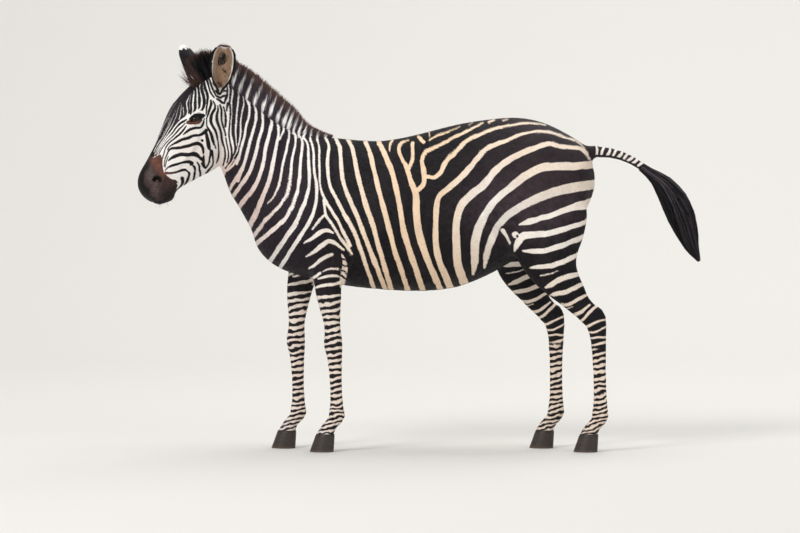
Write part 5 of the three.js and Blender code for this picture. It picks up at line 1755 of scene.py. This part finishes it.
class ZEBRA_OT_tail(bpy.types.Operator):
    """The long hair of the tail's tuft"""
    bl_idname = "zebra.tail"
    bl_label = "Tail tuft"

    def execute(self, context):
        settings, palette = context.scene.zebra_hair, context.scene.zebra_colour
        rng = np.random.default_rng(23)
        count = settings.tail_strands // 1
        path, _ = curve(np.array(TUFT), 0.01)
        way = way_along(path)
        segments = 9
        start = rng.uniform(0.0, 0.20, count)
        span = rng.uniform(0.45, 1.0, count) ** 0.8
        end = np.minimum(start + 0.28 + span * 0.72, 1.0 - 0.16 * rng.uniform(size=count) ** 2)
        angle = rng.uniform(0, 2 * math.pi, count)
        radius = np.sqrt(rng.uniform(0.02, 1, count))
        rows = []
        shares = np.concatenate((np.arange(segments) / segments, (1.0,)))
        drift = rng.normal(0, 0.22, (count, 2))
        behind_edge = np.cos(angle) < 0.3  # the upper, rear side, where the hair is loose; grey on some of its hairs is a painted highlight
        wisp = (rng.uniform(size=count) < 0.25) * rng.uniform(0.06, 0.42, count) * behind_edge
        for t in shares:
            s = start + (end - start) * t
            centre, ahead, behind = (rows_at(s * way[-1] + step, way, path) for step in (0, 0.01, -0.01))
            along = unit(ahead - behind)
            front = unit(np.stack((along[:, 2], np.zeros(count), -along[:, 0]), 1))
            fore, back, half = rows_at(s * 7, np.arange(8), TUFT_REACH).T
            spread = np.clip(radius + 0.12 * t * (rng.uniform(size=count) - 0.5), 0, 0.97) + wisp * t ** 1.5
            p = np.cos(angle + drift[:, 0] * t) * spread
            q = np.sin(angle + drift[:, 1] * t) * spread
            opened = ramp(-0.06, 0.34, np.array(t))
            reach = DOCK_RADIUS + (np.where(p > 0, fore, back) - DOCK_RADIUS) * opened
            half = DOCK_RADIUS + (half - DOCK_RADIUS) * opened
            rows.append(centre + front * (p * reach)[:, None] + np.outer(q * half, (0, 1, 0)))
        rows = np.array(rows)
        width = rng.uniform(*HAIR_WIDTHS["tail"], count)
        side = unit(rng.normal(size=(count, 3)))
        edges = []
        for k in range(segments):
            across = unit(np.cross(unit(rows[k + 1] - rows[k]), side))
            half = (width / 2 * (1 - 0.5 * k / segments))[:, None]
            edges += [rows[k] - across * half, rows[k] + across * half]
        edges.append(rows[-1])
        each = len(edges)
        points, triangles = strips(edges, segments)
        steps = np.tile(np.concatenate((np.repeat(shares[:-1], 2), (1.0,))), count)
        # painted highlight: grey on some hairs of the upper, rear side, fading towards the tips
        highlight_grey = np.repeat((rng.uniform(size=count) < 0.34) * behind_edge, each) * (0.85 - 0.65 * steps)
        tint = mixed(palette.tail, palette.tail_highlight, highlight_grey)
        tint = tint * np.repeat(rng.uniform(0.7, 1.3, count), each)[:, None]
        material = tinted_surface("tail tuft", 0.42, specular=0.4)
        hair_piece("tail_hair", (points, triangles, steps, each), tint, angle / (2 * math.pi), 0.05 + 0.9 * radius,
                   material, "hair", "tail_tuft")
        return {"FINISHED"}


class ZEBRA_OT_ear_hair(bpy.types.Operator):
    """Pale hair that lines the ears"""
    bl_idname = "zebra.ear_hair"
    bl_label = "Ear hair"

    def execute(self, context):
        settings, palette = context.scene.zebra_hair, context.scene.zebra_colour
        rng = np.random.default_rng(24)
        for side in ("left", "right"):
            points, faces, within, cups = make_ear(side)
            rows, arc = EAR_GRID
            inner = points[rows * arc:].reshape(rows, arc, 3)
            outer = points[:rows * arc].reshape(rows, arc, 3)
            count = settings.ear_hairs // 1
            r = rng.uniform(0.04, 0.94, count) * (rows - 1)
            edge = rng.uniform(size=count) < 0.55
            c = np.where(edge, np.where(rng.uniform(size=count) < 0.5, rng.uniform(6, 9, count),
                                        rng.uniform(arc - 10, arc - 7, count)), rng.uniform(8, arc - 9, count))
            ri, ci = r.astype(int), c.astype(int)
            roots = inner[ri, ci] + rng.normal(0, 0.0008, (count, 3))
            middle = inner[ri, np.full(count, arc // 2)]
            up = unit(inner[np.minimum(ri + 1, rows - 1), ci] - inner[np.maximum(ri - 1, 0), ci])
            wall = unit(inner[ri, ci] - outer[ri, ci])
            opening = unit((inner[:, 0] + inner[:, -1]) / 2 - inner[:, arc // 2])[ri]
            inward = unit(middle - roots + wall * 0.01)
            way = unit(up * 0.85 + inward * np.where(edge, 0.55, 0.1)[:, None] + opening * 0.18
                       + 0.15 * rng.normal(size=(count, 3)))
            lengths = np.where(edge, rng.uniform(0.009, 0.018, count), rng.uniform(0.007, 0.015, count))
            lengths = lengths * np.interp(r / (rows - 1), (0, 0.75, 1), (1.0, 1.0, 0.35))
            facing = unit(opening + 0.3 * rng.normal(size=(count, 3)))
            facing = across_way(facing, way)
            widths = rng.uniform(*HAIR_WIDTHS["ear"], count)
            made = blades(roots, way, facing, lengths, widths, lengths * 0.05, 3)
            share = r / (rows - 1)
            pale = mixed(palette.ear_inside, palette.white, 0.3 * rng.uniform(size=count))
            # painted shade: hairs darkened deep in the hollow of the cup
            hollow_shade = np.exp(-((share - 0.66) / 0.13) ** 2 - ((c / arc - 0.5) / 0.10) ** 2)
            pale = pale * (rng.uniform(0.45, 1.15, count) * (1 - 0.9 * hollow_shade))[:, None]
            tint = np.repeat(pale, made[3], 0)
            material = tinted_surface(side + " ear hair", 0.7, specular=0.2)
            hair_piece(side + "_ear_hair", made, tint, c / arc, 0.02 + 0.96 * share, material, "coat")
        return {"FINISHED"}


class ZEBRA_OT_face_hair(bpy.types.Operator):
    """Lashes and whiskers"""
    bl_idname = "zebra.face_hair"
    bl_label = "Lashes and whiskers"

    def execute(self, context):
        settings, palette = context.scene.zebra_hair, context.scene.zebra_colour
        rng = np.random.default_rng(25)
        roots, ways, facings, lengths, widths = [], [], [], [], []
        for side in (1, -1):
            centre, forward, up, out = eye_frame(side)
            for _ in range(settings.lashes):
                a = rng.uniform(-0.8, 0.8) * LID_HALF
                upper, lower = lid_edges(np.array(a))
                top = rng.uniform() < 0.8
                b = (upper + 0.0012) if top else (lower - 0.0010)
                reach = math.sqrt(max((EYE_RADIUS + LID_THICK) ** 2 - a * a - b * b, 1e-6))
                roots.append(centre + forward * a + up * b + out * reach)
                tilt = 0.10 if top else -0.5
                ways.append(unit(out * 0.9 + up * tilt + forward * (0.5 * a / LID_HALF) + 0.1 * rng.normal(size=3)))
                facings.append(up)
                lengths.append(rng.uniform(0.008, 0.013) * (1.0 if top else 0.6))
                widths.append(HAIR_WIDTHS["lash"])
        skin = bpy.data.objects["skin"]
        graph = bpy.context.evaluated_depsgraph_get()
        tree = BVHTree.FromObject(skin, graph)
        for _ in range(settings.whiskers):
            side = 1 if rng.uniform() < 0.5 else -1
            place = from_head((rng.uniform(0.44, 0.545), side * rng.uniform(0.01, 0.06), rng.uniform(-0.17, -0.09)))
            spot, normal, _, _ = tree.find_nearest(Vector(place))
            normal = np.array(normal)
            roots.append(np.array(spot))
            ways.append(unit(normal + 0.5 * HEAD_AXES[0] + 0.25 * rng.normal(size=3)))
            facings.append(unit(rng.normal(size=3)))
            lengths.append(rng.uniform(0.008, 0.024))
            widths.append(HAIR_WIDTHS["whisker"])
        ways, facings = np.array(ways), np.array(facings)
        facings = across_way(facings, ways)
        lengths = np.array(lengths)
        bend = facings * (lengths * 0.22)[:, None]
        made = blades(np.array(roots), ways, facings, lengths, np.array(widths), np.zeros(len(lengths)), 4, bend)
        count = len(lengths)
        tint = np.tile(np.array(palette.black) * 0.6, (count * made[3], 1))
        material = tinted_surface("lashes", 0.5, specular=0.3)
        hair_piece("lashes_and_whiskers", made, tint, np.arange(count) / count, np.full(count, 0.5), material)
        return {"FINISHED"}


PUPIL_HALF = (0.0085, 0.0050)  # half the pupil's length and height
IRIS_EDGE = (0.0150, 0.0185)  # where the iris ends, from the eye's middle


class ZEBRA_OT_eyes(bpy.types.Operator):
    """The two eyes: dark, glossy, with a broad pupil"""
    bl_idname = "zebra.eyes"
    bl_label = "Eyes"

    def execute(self, context):
        palette = context.scene.zebra_colour
        material = tinted_surface("eye", 0.07, specular=0.32)
        for side, name in ((1, "left_eye"), (-1, "right_eye")):
            centre, forward, up, out = eye_frame(side)
            rings, around = 40, 64
            tilt = np.linspace(0, math.pi, rings)[1:-1]
            turn = np.linspace(0, 2 * math.pi, around, endpoint=False)
            tilts, turns = np.meshgrid(tilt, turn, indexing="ij")
            a, b, c = np.sin(tilts) * np.cos(turns), np.sin(tilts) * np.sin(turns), np.cos(tilts)
            bulge = EYE_RADIUS * (1 + 0.035 * np.exp(-(tilts / 0.55) ** 2)) - 0.0006
            points = centre + (a * bulge)[..., None] * forward + (b * bulge)[..., None] * up \
                + (c * bulge)[..., None] * out
            points = points.reshape(-1, 3)
            poles = np.array((centre + out * (EYE_RADIUS * 1.035 - 0.0006), centre - out * EYE_RADIUS))
            caps, quads = ring_faces(len(points), around)
            if side < 0:
                quads, caps = quads[:, ::-1], caps[:, ::-1]
            all_points = np.vstack((points, poles))
            eye = new_object(name + "_ball", all_points, [caps, quads], material)
            q = all_points - centre
            across, high = q @ forward, q @ up
            pupil = ramp(1.15, 0.9, np.hypot(across / PUPIL_HALF[0], high / PUPIL_HALF[1])) * (q @ out > 0)
            white = ramp(*IRIS_EDGE, np.hypot(across, high)) * (q @ out > 0)
            tone = mixed(mixed(palette.iris, np.array(palette.eye) * 0.5, pupil), palette.eye_edge, white)
            set_attribute(eye.data, "tint", tone)
            placed(eye, "eye", name)
        return {"FINISHED"}


class ZEBRA_OT_hooves(bpy.types.Operator):
    """Four hooves with flat soles and growth rings"""
    bl_idname = "zebra.hooves"
    bl_label = "Hooves"

    def execute(self, context):
        palette = context.scene.zebra_colour
        material = tinted_surface("hoof", 0.5, specular=0.35)
        around, levels = 56, 40
        for name, (x, y) in HOOVES.items():
            heights = np.linspace(0, HOOF_ROWS[-1][0], levels)
            _, toe, heel, half = rows_at(heights, column(HOOF_ROWS, 0), HOOF_ROWS).T
            ridge = 0.00028 * np.sin(heights * 820 + 2.2 * np.sin(heights * 150))
            ridge *= ramp(0.0, 0.012, heights) * ramp(0.070, 0.058, heights)
            bevel = 0.0012 * ramp(0.004, 0.0, heights)
            coronet = -0.0010 * ramp(0.060, 0.0716, heights)
            inset = ridge - bevel + coronet - 0.0006
            turn = np.linspace(0, 2 * math.pi, around, endpoint=False)
            c, s = np.cos(turn), np.sin(turn)
            power = np.where(c >= 0, 1.0, 2 / 2.6)
            reach = np.abs(c) ** power
            along = np.where(c >= 0, 0.56 * (1 - reach), 0.56 + 0.44 * reach)
            sideways = np.sign(s) * np.abs(s) ** power
            rings = []
            for k, z in enumerate(heights):
                a, b = x + SHIFT + toe[k] - inset[k], x + SHIFT + heel[k] + inset[k]
                cleft = 0.006 * np.exp(-((along - 1.0) / 0.10) ** 2) * np.exp(-(sideways / 0.28) ** 2)
                rings.append(np.stack((a + (b - a) * along - cleft * ramp(0.07, 0.03, z),
                                       y + (half[k] + inset[k]) * sideways, np.full(around, z)), 1))
            points = np.vstack(rings)
            ends = np.array(((x + SHIFT - 0.01, y, 0.0), (x + SHIFT, y, heights[-1])))
            caps, quads = ring_faces(len(points), around)
            all_points = np.vstack((points, ends))
            hoof = new_object(name + "_horn", all_points, [caps, quads], material)
            z = all_points[:, 2]
            uneven = 1 + 0.18 * wobble(all_points * np.array((1, 1, 3)), 0.02, 41)
            tone = mixed(np.outer(uneven, palette.hoof), palette.black, 0.5 * ramp(0.056, 0.070, z))
            tone = mixed(tone, palette.hoof_edge, 0.35 * ramp(0.012, 0.0, z))
            set_attribute(hoof.data, "tint", np.clip(tone, 0, 1))
            placed(hoof, "hoof", name + "_hoof")
        return {"FINISHED"}


# Soft lamps: place, width, and share of the key lamp's power.
LAMPS = (("key", (-7.2, -9.6, 9.0), 5.0, 1.0), ("fill", (9.0, -9.0, 6.0), 8.0, 0.26),
         ("top", (0.6, 1.2, 11.0), 9.0, 0.50), ("rim", (3.2, 6.0, 7.0), 6.0, 0.22))


class ZEBRA_OT_stage(bpy.types.Operator):
    """Pale floor and wall, soft lamps and the camera"""
    bl_idname = "zebra.stage"
    bl_label = "Stage"

    def execute(self, context):
        settings = context.scene.zebra_stage
        material, shader = surface("studio", 0.9, specular=0.1)
        shader.inputs["Base Color"].default_value = (*settings.floor, 1)
        # from behind and from below the studio is clear, so that every side of the model can be looked at
        tree = material.node_tree
        behind = add(tree, "NewGeometry", {}).outputs["Backfacing"]
        clear = add(tree, "BsdfTransparent", {}).outputs[0]
        either = add(tree, "MixShader", {0: behind, 1: shader.outputs[0], 2: clear})
        tree.links.new(either.outputs[0], tree.nodes["Material Output"].inputs["Surface"])
        half, depth, rise, steps = settings.floor_size / 2, 9.0, 14.0, 16
        profile = [(-30.0, 0.0)]
        radius = 4.0
        for k in range(steps + 1):
            angle = math.pi / 2 * k / steps
            profile.append((depth - radius + radius * math.sin(angle), radius - radius * math.cos(angle)))
        profile.append((depth, rise))
        points = np.array([(x, y, z) for y, z in profile for x in (-half, half)])
        grid = np.arange(len(points)).reshape(-1, 2)
        quads = np.stack((grid[:-1, 0], grid[:-1, 1], grid[1:, 1], grid[1:, 0]), -1)
        floor = new_object("studio_floor", points, quads, material)
        for name, place, size, power in LAMPS:
            lamp = bpy.data.lights.new(name, "AREA")
            lamp.shape = "DISK"
            lamp.size = size
            lamp.energy = settings.lamp_power * power
            lamp.color = (1.0, 0.985, 0.96) if name == "key" else (1, 1, 1)
            made = bpy.data.objects.new(name, lamp)
            made.location = place
            made.rotation_euler = (Vector((0, 0, 0.9)) - Vector(place)).to_track_quat("-Z", "Y").to_euler()
            context.scene.collection.objects.link(made)
        world = bpy.data.worlds.new("studio")
        world.use_nodes = True
        background = world.node_tree.nodes["Background"]
        background.inputs["Color"].default_value = (1, 1, 1, 1)
        background.inputs["Strength"].default_value = 0.50
        context.scene.world = world
        context.scene.view_settings.view_transform = "Standard"
        lens = bpy.data.cameras.new("camera")
        lens.lens, lens.sensor_width = VIEW_LENS, VIEW_SENSOR
        lens.clip_end = 200
        camera = bpy.data.objects.new("camera", lens)
        back = Vector((0, -math.cos(VIEW_RISE), math.sin(VIEW_RISE)))
        camera.location = Vector(VIEW_TARGET) + back * VIEW_DISTANCE
        camera.rotation_euler = (-back).to_track_quat("-Z", "Y").to_euler()
        context.scene.collection.objects.link(camera)
        context.scene.camera = camera
        return {"FINISHED"}


OPERATORS = (ZEBRA_OT_skin, ZEBRA_OT_coat, ZEBRA_OT_mane, ZEBRA_OT_forelock, ZEBRA_OT_tail, ZEBRA_OT_ear_hair,
             ZEBRA_OT_face_hair, ZEBRA_OT_eyes, ZEBRA_OT_hooves, ZEBRA_OT_stage)
SETTINGS = {"zebra_skin": SkinSettings, "zebra_coat": CoatSettings, "zebra_hair": HairSettings,
            "zebra_colour": ColourSettings, "zebra_stage": StageSettings}


class ZEBRA_PT_panel(bpy.types.Panel):
    """Lists the zebra's settings and the steps that build it"""
    bl_label = "Zebra"
    bl_idname = "ZEBRA_PT_panel"
    bl_space_type = "VIEW_3D"
    bl_region_type = "UI"
    bl_category = "Zebra"

    def draw(self, context):
        for name, kind in SETTINGS.items():
            box = self.layout.box()
            box.label(text=kind.__name__.replace("Settings", ""))
            for key in kind.__annotations__:
                box.prop(getattr(context.scene, name), key)
        for operator in OPERATORS:
            self.layout.operator(operator.bl_idname)


def register():
    for kind in (*SETTINGS.values(), *OPERATORS, ZEBRA_PT_panel):
        bpy.utils.register_class(kind)
    for name, kind in SETTINGS.items():
        setattr(bpy.types.Scene, name, PointerProperty(type=kind))


def unregister():
    for name in SETTINGS:
        delattr(bpy.types.Scene, name)
    for kind in (ZEBRA_PT_panel, *reversed(OPERATORS), *reversed(SETTINGS.values())):
        bpy.utils.unregister_class(kind)


def main():
    register()
    for operator in OPERATORS:
        group, name = operator.bl_idname.split(".")
        getattr(getattr(bpy.ops, group), name)()


if __name__ == "__main__":
    main()
